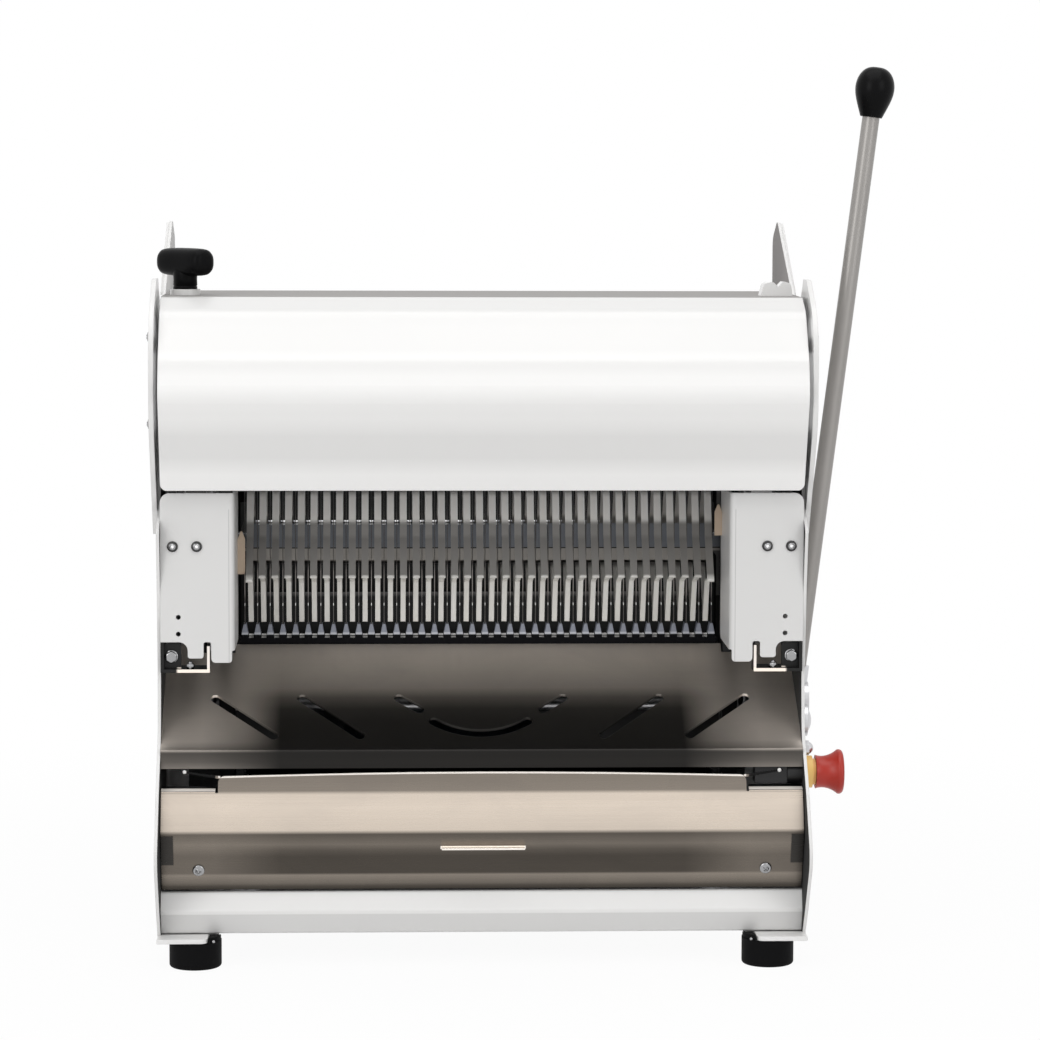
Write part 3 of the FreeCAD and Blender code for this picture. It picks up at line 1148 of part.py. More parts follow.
# ================================================================ pusher and lever
def finger_profile(drop):
    """Upper and lower runs of one bent finger, as (y, z, radius) paths."""
    fold = RAIL_Z - 23 - drop
    upper = [
        (BAR_Y, RAIL_Z + 20, 0), (BAR_Y - 20, RAIL_Z + 54, 12), (-112, RAIL_Z + 56, 10),
        (-118, RAIL_Z + 38, 10), (-127, RAIL_Z + 12, 14), (-155, fold, 1),
    ]
    lower = [(-155, fold, 1), (-118, RAIL_Z - 31, 5), (-99, RAIL_Z - 72.5, 8), (BAR_Y, RAIL_Z - 20, 0)]
    return upper, lower


def pusher_comb():
    """Fingers of bent flat steel that pass between the blades and press the loaf through."""
    made = []
    last = BLADE_COUNT - 2
    for i in range(BLADE_COUNT - 1):
        x = finger_x(i)
        upper, lower = finger_profile(END_DROP if i in (0, last) else 0)
        top = along_x(sheet_section(upper, FINGER_SHEET), x - FINGER_TOP / 2, x + FINGER_TOP / 2)
        low = along_x(sheet_section(lower, FINGER_SHEET), x - FINGER_LOW / 2, x + FINGER_LOW / 2)
        made.append(top.fuse(low))
    return made


def pusher_bar():
    """Bent plate that carries the fingers, on a square tube that runs out to the carriages."""
    path = [
        (BAR_Y + 8, RAIL_Z + 21, 0), (BAR_Y, RAIL_Z + 21, 3), (BAR_Y, RAIL_Z - 18, 3),
        (BAR_Y + 10, RAIL_Z - 21, 0),
    ]
    reach = finger_x(BLADE_COUNT - 2) + 5
    plate = along_x(sheet_section(path, FINGER_SHEET), -reach, reach)
    front = BAR_Y + FINGER_SHEET
    half = TUBE / 2
    tube = box(-CARRIAGE_IN, CARRIAGE_IN, front, front + TUBE, RAIL_Z - half, RAIL_Z + half)
    bore = box(-CARRIAGE_IN - 1, CARRIAGE_IN + 1, front + 2, front + TUBE - 2,
               RAIL_Z - half + 2, RAIL_Z + half - 2)
    return fuse(plate, tube).cut(bore)


def pusher_carriages():
    """Sliding blocks on the rails, with an ear up to the roller pin."""
    made = []
    for side in SIDES:
        block = box(CARRIAGE_IN, CARRIAGE_OUT, -HALF_STROKE - 12, BAR_Y + TUBE + 6, RAIL_Z - 13, RAIL_Z + 13)
        ear = along_x([
            (-HALF_STROKE - 12, RAIL_Z, 0), (-HALF_STROKE - 12, LEVER_Z + PIN_RISE + 12, 11),
            (-HALF_STROKE + 12, LEVER_Z + PIN_RISE + 12, 11), (-HALF_STROKE + 34, RAIL_Z, 0),
        ], CARRIAGE_OUT - 6, CARRIAGE_OUT)
        carriage = fuse(block, ear).cut(rod(V(RAIL_X, -300, RAIL_Z), AXIS_Y, RAIL_RADIUS + RUN_CLEAR, 600))
        made.append(sided(carriage, side))
    return made


def carriage_rollers():
    """Roller on its pin at the top of each carriage ear."""
    made = []
    for side in SIDES:
        start = V(CARRIAGE_OUT, -HALF_STROKE, LEVER_Z + PIN_RISE)
        pin = rod(start, AXIS_X, ROLLER_RADIUS, ARM_GAP + ARM_SHEET + 1)
        made.append(sided(pin, side))
    return made


def pusher_rails():
    return [rod(V(side * RAIL_X, RAIL_ENDS[0], RAIL_Z), AXIS_Y, RAIL_RADIUS, RAIL_ENDS[1] - RAIL_ENDS[0])
            for side in SIDES]


def rail_clamps():
    """Blocks that hold the rails on the side frames, clear of the slotted arms' sweep."""
    made = []
    for side in SIDES:
        for y in (RAIL_ENDS[0], RAIL_ENDS[1] - 14):
            block = box(CARRIAGE_IN, INNER, y, y + 14, RAIL_Z - 12, RAIL_Z + 12)
            made.append(sided(block.cut(rod(V(RAIL_X, y - 1, RAIL_Z), AXIS_Y, RAIL_RADIUS, 16)), side))
    return made


def cross_shaft():
    """Lever shaft through both side frames' bearings, with the two slotted arms."""
    start = -INNER + SEAT_GAP
    shaft = rod(V(start, 0, LEVER_Z), AXIS_X, SHAFT_RADIUS, OUTER + 20 - start)
    parts = [shaft]
    lean = math.radians(LEVER_SWING / 2)
    near = PIN_RISE
    far = PIN_RISE / math.cos(lean)
    half = ROLLER_RADIUS + SLOT_SLACK
    top = LEVER_Z + far + half + 8
    for side in SIDES:
        arm = along_x([
            (-20, LEVER_Z - 20, 19), (-half - 9, top, half + 8), (half + 9, top, half + 8),
            (20, LEVER_Z - 20, 19),
        ], ARM_IN, ARM_OUT)
        slot = along_x([
            (-half, LEVER_Z + near - half - 2, half - 0.2), (-half, LEVER_Z + far + half + 2, half - 0.2),
            (half, LEVER_Z + far + half + 2, half - 0.2), (half, LEVER_Z + near - half - 2, half - 0.2),
        ], ARM_IN - 1, ARM_OUT + 1)
        window = along_x([
            (-7, LEVER_Z + 32, 6), (-7, LEVER_Z + near - 50, 6), (7, LEVER_Z + near - 50, 6),
            (7, LEVER_Z + 32, 6),
        ], ARM_IN - 1, ARM_OUT + 1)
        arm = arm.cut([slot, window])
        arm.rotate(V(0, 0, LEVER_Z), AXIS_X, LEVER_SWING / 2)
        parts.append(sided(arm, side))
    return fuse(*parts)


def lever_hub():
    """Clamping hub outside the right side frame, with the socket for the rod."""
    hub = rod(V(HUB_START, 0, LEVER_Z), AXIS_X, LEVER_HUB, HUB_LENGTH)
    lean = math.radians(LEVER_LEAN)
    direction = V(math.sin(lean), 0, math.cos(lean))
    socket = rod(V(HUB_START + HUB_LENGTH / 2, 0, LEVER_Z), direction, LEVER_RADIUS + 3, 34)
    bore = rod(V(HUB_START - 1, 0, LEVER_Z), AXIS_X, SHAFT_RADIUS, OUTER + 20 - HUB_START + 1)
    hole = rod(V(HUB_START + HUB_LENGTH / 2, 0, LEVER_Z) + direction * 16, direction, LEVER_RADIUS, 40)
    return fuse(hub, socket).cut([bore, hole])


def lever_rod():
    lean = math.radians(LEVER_LEAN)
    direction = V(math.sin(lean), 0, math.cos(lean))
    start = V(HUB_START + HUB_LENGTH / 2, 0, LEVER_Z) + direction * 16
    return rod(start, direction, LEVER_RADIUS, (LEVER_TOP_Z - start.z) / math.cos(lean))


def lever_knob():
    """Egg-shaped grip, thickest above its middle."""
    lean = math.radians(LEVER_LEAN)
    base = [
        (LEVER_RADIUS + 2.2, 0), (KNOB_RADIUS * 0.83, KNOB_LENGTH * 0.27),
        (KNOB_RADIUS, KNOB_LENGTH * 0.62), (KNOB_RADIUS * 0.7, KNOB_LENGTH * 0.91), (0.0, KNOB_LENGTH),
    ]
    curve = Part.BSplineCurve()
    curve.interpolate([V(a, 0, b) for a, b in base])
    edges = [curve.toShape(), Part.LineSegment(V(0, 0, KNOB_LENGTH), V(0, 0, 0)).toShape(),
             Part.LineSegment(V(0, 0, 0), V(base[0][0], 0, 0)).toShape()]
    egg = Part.Face(Part.Wire(edges)).revolve(V(0, 0, 0), AXIS_Z, 360)
    egg = egg if egg.Volume > 0 else egg.reversed()
    egg.rotate(V(0, 0, 0), AXIS_Y, LEVER_LEAN)
    start = V(HUB_START + HUB_LENGTH / 2, 0, LEVER_Z)
    egg.translate(start + V(math.tan(lean) * (LEVER_TOP_Z - LEVER_Z), 0, LEVER_TOP_Z - LEVER_Z))
    return egg


# ================================================================ emergency stop and side fittings
def stop_base():
    """Yellow ring outside with a collar for the button's skirt, and the neck through the frame."""
    ring_part = rod(V(OUTER, STOP_Y, STOP_Z), AXIS_X, STOP_RING, STOP_RING_HEIGHT)
    collar = rod(V(OUTER, STOP_Y, STOP_Z), AXIS_X, STOP_COLLAR, STOP_RING_HEIGHT + STOP_TRAVEL)
    neck = rod(V(INNER - STOP_THREAD, STOP_Y, STOP_Z), AXIS_X, STOP_NECK, STOP_THREAD + FRAME_SHEET)
    bore = rod(V(INNER - STOP_THREAD - 1, STOP_Y, STOP_Z), AXIS_X, STOP_SHAFT + RUN_CLEAR, STOP_THREAD + 40)
    return fuse(ring_part, collar, neck).cut(bore)


def stop_contact():
    """Contact block behind the emergency stop."""
    end = INNER - STOP_THREAD
    half = STOP_BLOCK / 2
    return box(end - STOP_BLOCK_LENGTH, end, STOP_Y - half, STOP_Y + half, STOP_Z - half, STOP_Z + half)


def stop_button():
    """Mushroom head with a flared rim, on its shaft."""
    seat = OUTER + STOP_RING_HEIGHT + STOP_TRAVEL + 0.2
    flank = Part.BSplineCurve()
    flank.interpolate([V(15.5, 0, 0), V(14.7, 0, 8), V(16.6, 0, 14.5), V(20.2, 0, 20)])
    rim = Part.Arc(V(20.2, 0, 20), V(20.4, 0, 22.8), V(18, 0, 25.2)).toShape()
    rest = Part.makePolygon([V(18, 0, 25.2), V(0, 0, 26.2), V(0, 0, 0), V(15.5, 0, 0)])
    wire = Part.Wire([flank.toShape(), rim] + rest.Edges)
    button = Part.Face(wire).revolve(V(0, 0, 0), AXIS_Z, 360)
    button = button if button.Volume > 0 else button.reversed()
    button.rotate(V(0, 0, 0), AXIS_Y, 90)
    button.translate(V(seat, STOP_Y, STOP_Z))
    skirt = rod(V(seat - 1, STOP_Y, STOP_Z), AXIS_X, STOP_COLLAR + SEAT_GAP, STOP_TRAVEL + 2)
    stem = rod(V(INNER - 8, STOP_Y, STOP_Z), AXIS_X, STOP_SHAFT, seat + 12 - INNER + 8)
    return button.cut(skirt).fuse(stem).removeSplitter()


def side_fittings():
    """Dome nut and round boss above the emergency stop."""
    nut_seat = V(OUTER, -215, 197)
    flat = hexagon(V(0, 0, 0), AXIS_Z, 12, 4.5)
    flat.rotate(V(0, 0, 0), AXIS_Y, 90)
    flat.translate(nut_seat)
    nut = fuse(flat, domed_head(nut_seat + V(4.5, 0, 0), AXIS_X, 5.6, 4.2))
    boss_seat = V(OUTER, -200, 221)
    boss = rod(boss_seat, AXIS_X, 15, 4).fuse(domed_head(boss_seat + V(4, 0, 0), AXIS_X, 12, 4.2))
    return [nut, boss]


# ================================================================ throat strips
def throat_strips():
    """Pointed crust guides beside the first and the last finger, one low and one high."""
    made = []
    y = CHEEK_Y + CHEEK_RETURN - 12
    for side, (z0, z1) in STRIPS.items():
        x0 = THROAT_HALF - STRIP_WIDTH
        middle = (x0 + THROAT_HALF) / 2
        strip = along_y([
            (x0, z0, 0), (x0, z1 - STRIP_POINT, 0), (middle, z1, 1), (THROAT_HALF, z1 - STRIP_POINT, 0),
            (THROAT_HALF, z0, 0),
        ], y, y + STRIP_SHEET)
        made.append(sided(strip, side))
    return made


# ================================================================ all nodes
NODES = {
    "side_frame_left": lambda: side_frame(LEFT),
    "side_frame_right": lambda: side_frame(RIGHT),
    "side_cover_left": lambda: side_cover(LEFT),
    "side_cover_right": lambda: side_cover(RIGHT),
    "fasteners": fasteners,
    "feet": feet,
    "bottom_pan": bottom_pan,
    "front_beam": front_beam,
    "rear_cover": rear_cover,
    "hood": hood,
    "hood_lugs": hood_lugs,
    "hood_pins": hood_pins,
    "hood_hinges": hood_hinges,
    "clamp_knob": clamp_knob,
    "clamp_screw": clamp_screw,
    "clamp_bracket": clamp_bracket,
    "cheek_left": lambda: cheek(LEFT),
    "cheek_right": lambda: cheek(RIGHT),
    "cheek_brackets": cheek_brackets,
    "throat_strips": throat_strips,
    "outfeed_table": outfeed_table,
    "crumb_tray": crumb_tray,
    "tray_screws": tray_screws,
    "tray_runners": tray_runners,
    "hopper_floor": hopper_floor,
    "hopper_wall_left": lambda: hopper_wall(LEFT),
    "hopper_wall_right": lambda: hopper_wall(RIGHT),
    "lower_blade_guide": lower_blade_guide,
    "upper_blade_guide": upper_blade_guide,
    "blade_frame_front": lambda: blade_frame(True),
    "blade_frame_rear": lambda: blade_frame(False),
    "blades_front": lambda: blades(True),
    "blades_rear": lambda: blades(False),
    "guide_rods": guide_rods,
    "guide_brackets": guide_brackets,
    "rocker": rocker,
    "connecting_rod": connecting_rod,
    "crank_shaft": crank_shaft,
    "crank_pulley": crank_pulley,
    "crank_bearings": crank_bearings,
    "drive_belt": drive_belt,
    "motor": motor,
    "motor_bracket": motor_bracket,
    "motor_pulley": motor_pulley,
    "power_inlet": power_inlet,
    "pusher_comb": pusher_comb,
    "pusher_bar": pusher_bar,
    "pusher_carriages": pusher_carriages,
    "carriage_rollers": carriage_rollers,
    "pusher_rails": pusher_rails,
    "rail_clamps": rail_clamps,
    "cross_shaft": cross_shaft,
    "shaft_bearings": shaft_bearings,
    "lever_hub": lever_hub,
    "lever_rod": lever_rod,
    "lever_knob": lever_knob,
    "stop_base": stop_base,
    "stop_contact": stop_contact,
    "stop_button": stop_button,
    "side_fittings": side_fittings,
}


def main():
    os.makedirs("parts", exist_ok=True)
    for node, make in NODES.items():
        shape = make()
        if isinstance(shape, list):
            shape = Part.makeCompound(shape)
        shape.exportStep(f"parts/{node}.step")


main()
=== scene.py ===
import math

import bmesh
import bpy
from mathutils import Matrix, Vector


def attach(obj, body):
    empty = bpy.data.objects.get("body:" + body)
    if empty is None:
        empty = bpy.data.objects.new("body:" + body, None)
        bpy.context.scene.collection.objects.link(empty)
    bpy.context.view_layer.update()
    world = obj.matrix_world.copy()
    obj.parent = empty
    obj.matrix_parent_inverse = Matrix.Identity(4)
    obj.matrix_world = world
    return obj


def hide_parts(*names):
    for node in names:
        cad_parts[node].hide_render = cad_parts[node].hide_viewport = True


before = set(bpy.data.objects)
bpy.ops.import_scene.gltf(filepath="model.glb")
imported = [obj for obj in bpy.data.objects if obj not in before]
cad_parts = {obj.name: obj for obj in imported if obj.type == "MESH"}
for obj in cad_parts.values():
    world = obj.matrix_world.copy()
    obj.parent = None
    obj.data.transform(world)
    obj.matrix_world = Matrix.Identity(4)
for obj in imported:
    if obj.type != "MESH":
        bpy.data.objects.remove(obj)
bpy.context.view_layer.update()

bl_info = {
    "name": "Bench bread slicer finish",
    "version": (1, 0, 0),
    "blender": (4, 5, 0),
    "location": "View3D > Sidebar > Slicer",
    "description": "Finishes, small fittings and the studio for a bench bread slicer",
    "category": "Object",
}

MM = 0.001
FINGER_PITCH = 12.0 * MM
FINGER_COUNT = 37
SIDES = (-1.0, 1.0)             # left and right
FORWARDS = (0.0, -1.0, 0.0)     # towards the operator
UPWARDS = (0.0, 0.0, 1.0)
ANY_WAY = None                  # for a patch on faces turned any way
SHARP = 0.2                     # fade of a crisp patch's edge, in millimetres


# Shader nodes

class Wire:
    """An output socket of a shader node that Python's operators work on."""

    def __init__(self, finish, socket):
        self.finish = finish
        self.socket = socket

    def math(self, operation, first, second=0.0):
        return self.finish.node("ShaderNodeMath", {"operation": operation}, {0: first, 1: second})

    def __add__(self, other):
        return self.math("ADD", self, other)

    def __radd__(self, other):
        return self.math("ADD", other, self)

    def __sub__(self, other):
        return self.math("SUBTRACT", self, other)

    def __rsub__(self, other):
        return self.math("SUBTRACT", other, self)

    def __mul__(self, other):
        return self.math("MULTIPLY", self, other)

    def __rmul__(self, other):
        return self.math("MULTIPLY", other, self)

    def __pow__(self, other):
        return self.math("POWER", self, other)

    def __abs__(self):
        return self.math("ABSOLUTE", self)

    def above(self, level):
        return self.math("GREATER_THAN", self, level)


def grey(level):
    return level, level, level


class Brush:
    """Puts nodes in the tree of a material or a world."""

    def __init__(self, tree):
        self.tree = tree

    def feed(self, socket, value):
        if isinstance(value, Wire):
            self.tree.links.new(value.socket, socket)
        elif socket.type == "RGBA" and len(value) == 3:
            socket.default_value = (*value, 1.0)
        else:
            socket.default_value = value

    def node(self, kind, settings=None, inputs=None, output=0):
        """Adds one node, its settings first and then its sockets, and gives one of its outputs."""
        made = self.tree.nodes.new(kind)
        for key, value in (settings or {}).items():
            setattr(made, key, value)
        for key, value in (inputs or {}).items():
            self.feed(made.inputs[key], value)
        return Wire(self, made.outputs[output])

    def place(self, stretch=(1.0, 1.0, 1.0)):
        """Object coordinates, scaled by stretch."""
        here = self.node("ShaderNodeTexCoord", output="Object")
        return self.node("ShaderNodeMapping", {"vector_type": "POINT"}, {"Vector": here, "Scale": stretch})

    def noise(self, scale, detail, rough=0.5, stretch=(1.0, 1.0, 1.0), distortion=0.0):
        sizes = {"Vector": self.place(stretch), "Scale": scale, "Detail": detail,
                 "Roughness": rough, "Distortion": distortion}
        return self.node("ShaderNodeTexNoise", {}, sizes)

    def along(self, value, low, high, start=0.0, end=1.0):
        """Runs from start to end as a value runs from low to high."""
        return self.node("ShaderNodeMapRange", {}, {
            "Value": value, "From Min": low, "From Max": high, "To Min": start, "To Max": end})

    def ramp(self, value, *stops):
        """Grey levels along a value. Each stop is (place, level)."""
        made = self.node("ShaderNodeValToRGB", {}, {"Fac": value})
        steps = made.socket.node.color_ramp.elements
        steps.remove(steps[1])
        steps[0].position, level = stops[0]
        steps[0].color = (*grey(level), 1.0)
        for place, level in stops[1:]:
            steps.new(place).color = (*grey(level), 1.0)
        return made

    def mix(self, share, first, second, blend="MIX"):
        return self.node("ShaderNodeMix", {"data_type": "RGBA", "blend_type": blend},
                         {0: share, 6: first, 7: second}, output=2)

    def round_edges(self, radius):
        """Normals turned over each edge, as a real edge is never quite sharp."""
        return self.node("ShaderNodeBevel", {"samples": 4}, {"Radius": radius})

    def bump(self, height, depth, normal, strength=1.0):
        return self.node("ShaderNodeBump", {}, {
            "Height": height, "Distance": depth, "Strength": strength, "Normal": normal})


class Finish(Brush):
    """A material under the brush, with the shader that its wires end in."""

    def __init__(self, name, **plain):
        self.material = bpy.data.materials.new(name)
        self.material.use_nodes = True
        super().__init__(self.material.node_tree)
        self.shader = self.tree.nodes["Principled BSDF"]
        self.ends_in(**plain)

    def ends_in(self, **inputs):
        """Feeds the shader's inputs, named by their words, and gives the material."""
        for words, value in inputs.items():
            self.feed(self.shader.inputs[words.replace("_", " ").title().replace("Ior", "IOR")], value)
        return self.material


def ramp_between(finish, value, low, high, *stops):
    """Grey levels along a value that runs from low to high."""
    return finish.ramp(finish.along(value, low, high), *stops)


def coordinate(finish, axis):
    """One object coordinate, in metres."""
    here = finish.node("ShaderNodeTexCoord", output="Object")
    return finish.node("ShaderNodeSeparateXYZ", {}, {0: here}, output=axis)


def facing(finish, direction):
    """How far the surface faces a direction of its own piece, from -1 to 1."""
    here = finish.node("ShaderNodeTexCoord", output="Normal")
    return finish.node("ShaderNodeVectorMath", {"operation": "DOT_PRODUCT"}, {0: here, 1: direction},
                       output="Value")


def share_of(finish, way, *limits):
    """How far a place is inside a patch: (direction, least) for the faces turned that way or ANY_WAY, then
    any limits (axis, low, high, spread) in millimetres. An axis may be a function that gives a length."""
    share = facing(finish, way[0]).above(way[1]) if way else 1.0
    for axis, low, high, spread in limits:
        here = axis(finish) if callable(axis) else coordinate(finish, axis)
        rise = finish.along(here, (low - spread) * MM, (low + spread) * MM)
        fall = finish.along(here, (high - spread) * MM, (high + spread) * MM, 1.0, 0.0)
        share = rise * fall * share
    return share


def both_ends(start, end=400.0):
    """The stretches (low, high) beyond a distance from the middle, on the left and on the right."""
    return (-end, -start), (start, end)


def band(tone, low, high, spread=SHARP, *more):
    """A patch between two heights, and within any more limits, on faces turned any way."""
    return tone, ANY_WAY, ("Z", low, high, spread), *more


def patched(finish, tone, patches):
    """Lays other tones over a first one. A patch is its tone, then its way and limits."""
    for under, *where in patches:
        tone = finish.mix(share_of(finish, *where), tone, under)
    return tone


def shade(colour, share):
    """A colour made lighter or darker by a share."""
    return tuple(min(1.0, part * share) for part in colour)


def powder_coat(name, colour, roughness, coat, *patches, matt=()):
    """Powder coat: fine orange peel, faint clouds in its tone, and a thin gloss over it.
    matt lists the (direction, least) of faces without the gloss."""
    paint = Finish(name, coat_roughness=0.16, ior=1.5)
    clouds = paint.noise(5.0, 3.0)
    peel = paint.noise(620.0, 1.0)
    flow = paint.noise(95.0, 1.0)
    tone = patched(paint, paint.mix(clouds, shade(colour, 0.975), shade(colour, 1.015)), patches)
    soft = paint.round_edges(0.9 * MM)
    dull = 0.0
    for direction, least in matt:
        dull = facing(paint, direction).above(least) + dull
    return paint.ends_in(
        base_color=tone,
        roughness=roughness + clouds * 0.05 + peel * 0.03 + dull * 0.5,
        coat_weight=(coat + clouds * 0.05) * (1.0 - dull),
        normal=paint.bump(peel * 0.5 + flow, 0.03 * MM, soft, 0.6))


def sheet_roughness(level, fine, stains):
    """A sheet's roughness, which its grain and its stains vary."""
    grain_share, stain_share = 0.12, 0.14
    return level + (fine - 0.5) * grain_share + (stains - 0.5) * stain_share


def brushed_sheet(name, colour, roughness, stretch, depth, patches, matt):
    """Sheet steel with a rolled grain along one direction, and the soft stains of handling.
    matt is the way and limits of a field that neither shines nor mirrors."""
    steel = Finish(name, metallic=1.0, specular_ior_level=0.04)
    fine = steel.noise(1.0, 2.0, 0.6, stretch)
    long = steel.noise(0.35, 2.0, 0.5, stretch)
    stains = steel.noise(9.0, 4.0, 0.62, distortion=0.6)
    tone = steel.mix(fine * 0.6 + long * 0.4, shade(colour, 0.86), shade(colour, 1.12))
    stained = steel.mix(steel.ramp(stains, (0.45, 0.0), (0.8, 0.08)), tone, shade(colour, 0.62))
    dull = share_of(steel, *matt)
    return steel.ends_in(
        base_color=patched(steel, stained, patches),
        metallic=1.0 - dull,
        roughness=sheet_roughness(roughness, fine, stains) + dull * 0.5,
        normal=steel.bump(fine + long * 0.5, depth, steel.round_edges(0.5 * MM)))


def banded_sheet(name, tint, roughness, depth, levels, ends, patches=(), laid_over=(), metallic=1.0):
    """Brushed sheet with painted reflection and shade by height: levels are (height, level) from the foot up.
    ends gives (half width, spread, levels) of the painted fields beyond its middle. Lengths are in
    millimetres.
    The second list of patches is laid on as the first is, without the metal's shine: painted highlights."""
    steel = Finish(name, metallic=metallic)
    low, high = levels[0][0], levels[-1][0]
    height = coordinate(steel, "Z")

    def along(steps):
        stops = [((z - low) / (high - low), level) for z, level in steps]
        return ramp_between(steel, height, low * MM, high * MM, *stops)

    half, spread, end_levels = ends
    apart = ramp_between(steel, abs(coordinate(steel, "X")), (half - spread) * MM, (half + spread) * MM,
                         (0.0, 0.0), (1.0, 1.0))
    painted_light_bands = steel.mix(apart, along(levels), along(end_levels))
    fine = steel.noise(1.0, 2.0, 0.6, (5.0, 1600.0, 1600.0))
    long = steel.noise(0.35, 2.0, 0.5, (5.0, 900.0, 900.0))
    stains = steel.noise(9.0, 4.0, 0.62, (1.0, 1.0, 2.2), 0.6)
    tone = steel.mix(1.0, painted_light_bands, tint, "MULTIPLY")
    grain = steel.mix(fine * 0.6 + long * 0.4, grey(0.93), grey(1.06))
    tone = steel.mix(1.0, tone, grain, "MULTIPLY")
    handled = steel.mix(1.0, tone, (0.74, 0.75, 0.77), "MULTIPLY")
    tone = steel.mix(steel.ramp(stains, (0.42, 0.0), (0.75, 0.45)), tone, handled)
    shine = metallic
    for patch in laid_over:
        shine = share_of(steel, *patch[1:]) * -metallic + shine
    if laid_over:
        steel.ends_in(metallic=shine.math("MAXIMUM", shine, 0.0))
    return steel.ends_in(
        base_color=patched(steel, tone, (*patches, *laid_over)),
        roughness=sheet_roughness(roughness, fine, stains),
        normal=steel.bump(fine + long * 0.5, depth, steel.round_edges(0.5 * MM)))


def turned_steel(name, colour, roughness, stretch=(1.0, 1.0, 1.0), metallic=1.0, patches=()):
    """Drawn or turned bar: fine lines and a slightly uneven polish."""
    steel = Finish(name, metallic=metallic)
    lines = steel.noise(60.0, 2.0, 0.6, stretch)
    clouds = steel.noise(22.0, 3.0)
    tone = patched(steel, steel.mix(lines, shade(colour, 0.9), shade(colour, 1.08)), patches)
    return steel.ends_in(
        base_color=tone,
        roughness=roughness + (lines - 0.5) * 0.1 + (clouds - 0.5) * 0.08,
        normal=steel.bump(lines, 0.006 * MM, steel.round_edges(0.35 * MM)))


def cast_metal(name, colour, roughness, metallic=0.85):
    """Die casting: a fine grain in relief, darker in its pits."""
    metal = Finish(name, metallic=metallic)
    grain = metal.noise(380.0, 3.0, 0.6)
    flow = metal.noise(34.0, 2.0)
    tone = metal.mix(grain * 0.5 + flow * 0.5, shade(colour, 0.8), shade(colour, 1.12))
    return metal.ends_in(
        base_color=tone,
        roughness=roughness + (grain - 0.5) * 0.16,
        normal=metal.bump(grain, 0.05 * MM, metal.round_edges(0.8 * MM), 0.7))


def moulded(name, colour, roughness, grain_size, depth, soft=0.6, gloss=0.5, patches=()):
    """Moulded plastic or rubber: a spark-eroded skin and the dull and bright of its filling."""
    skin = Finish(name, ior=1.48, coat_roughness=0.25, specular_ior_level=gloss)
    grain = skin.noise(grain_size, 2.0, 0.55)
    clouds = skin.noise(26.0, 3.0)
    tone = patched(skin, skin.mix(clouds, shade(colour, 0.82), shade(colour, 1.2)), patches)
    return skin.ends_in(
        base_color=tone,
        roughness=roughness + (clouds - 0.5) * 0.12 + (grain - 0.5) * 0.1,
        normal=skin.bump(grain, depth, skin.round_edges(soft * MM), 0.8))


# Finishes, by the words used for the parts they cover

def shown_tone(name, description, *default):
    """A colour that the panel shows."""
    return bpy.props.FloatVectorProperty(name=name, description=description, subtype="COLOR", default=default)


def shown(name, description, default, unit="NONE"):
    """A number that the panel shows."""
    return bpy.props.FloatProperty(name=name, description=description, default=default, unit=unit)


class SlicerFinishes(bpy.types.PropertyGroup):
    paint: shown_tone("Paint", "White of the powder coat", 0.83, 0.825, 0.815)
    table: shown_tone("Outfeed table", "Sheet that the loaf slides down", 1.0, 0.90, 0.80)
    tray: shown_tone("Crumb tray", "Sheet of the tray", 1.0, 0.87, 0.74)
    comb: shown_tone("Comb", "Bent fingers", 1.0, 0.97, 0.90)
    blades: shown_tone("Blades", "Toothed blades", 0.13, 0.122, 0.117)
    castings: shown_tone("Castings", "Die castings", 0.22, 0.22, 0.23)
    plating: shown_tone("Plating", "Zinc plate", 0.60, 0.60, 0.61)
    lever: shown_tone("Lever", "Silver paint on the lever's rod", 0.33, 0.315, 0.30)
    black: shown_tone("Black plastic", "Knobs and feet", 0.012, 0.012, 0.013)
    red: shown_tone("Stop red", "Stop button", 0.42, 0.022, 0.010)
    yellow: shown_tone("Stop yellow", "Ring under the stop button", 1.0, 0.58, 0.19)


class SlicerScrews(bpy.types.PropertyGroup):
    radius: shown("Head radius", "Radius of a cover screw's head", 5.0 * MM, "LENGTH")
    height: shown("Head height", "Height of the head over its seat", 3.2 * MM, "LENGTH")
    recess_length: shown("Recess length", "Length of each arm pair of the cross", 5.6 * MM, "LENGTH")
    recess_width: shown("Recess width", "Width of the cross's arms", 1.3 * MM, "LENGTH")
    recess_depth: shown("Recess depth", "Depth of the cross", 1.9 * MM, "LENGTH")


class SlicerStage(bpy.types.PropertyGroup):
    lens: shown("Lens", "Focal length", 128.26, "CAMERA")
    camera_place: bpy.props.FloatVectorProperty(
        name="Camera", description="Where the camera stands", subtype="TRANSLATION",
        default=(-0.1022, -3.6, 0.733))
    camera_turn: bpy.props.FloatVectorProperty(
        name="Turn", description="Pitch, roll and heading of the camera", subtype="EULER",
        default=(math.radians(90.0 - 4.656), math.radians(-0.166), math.radians(-2.294)))
    upwards: shown("Shift up", "Lens shift up, in frame widths", -0.05)
    ambient: shown("Ambient", "Level of the even light from all round", 0.40)
    top_power: shown("Top box", "Power of the soft box overhead", 30.0, "POWER")
    left_power: shown("Left box", "Power of the soft box in front on the left", 28.0, "POWER")
    right_power: shown("Right box", "Power of the soft box in front on the right", 19.0, "POWER")


def finishes():
    return bpy.context.scene.slicer_finishes


def wear(material, *nodes):
    """Gives carried-over solids their finish."""
    for name in nodes:
        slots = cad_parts[name].data.materials
        slots.clear()
        slots.append(material)


def placed(name, data):
    """A new object in the scene, made of a mesh, a lamp or a camera."""
    made = bpy.data.objects.new(name, data)
    bpy.context.scene.collection.objects.link(made)
    return made


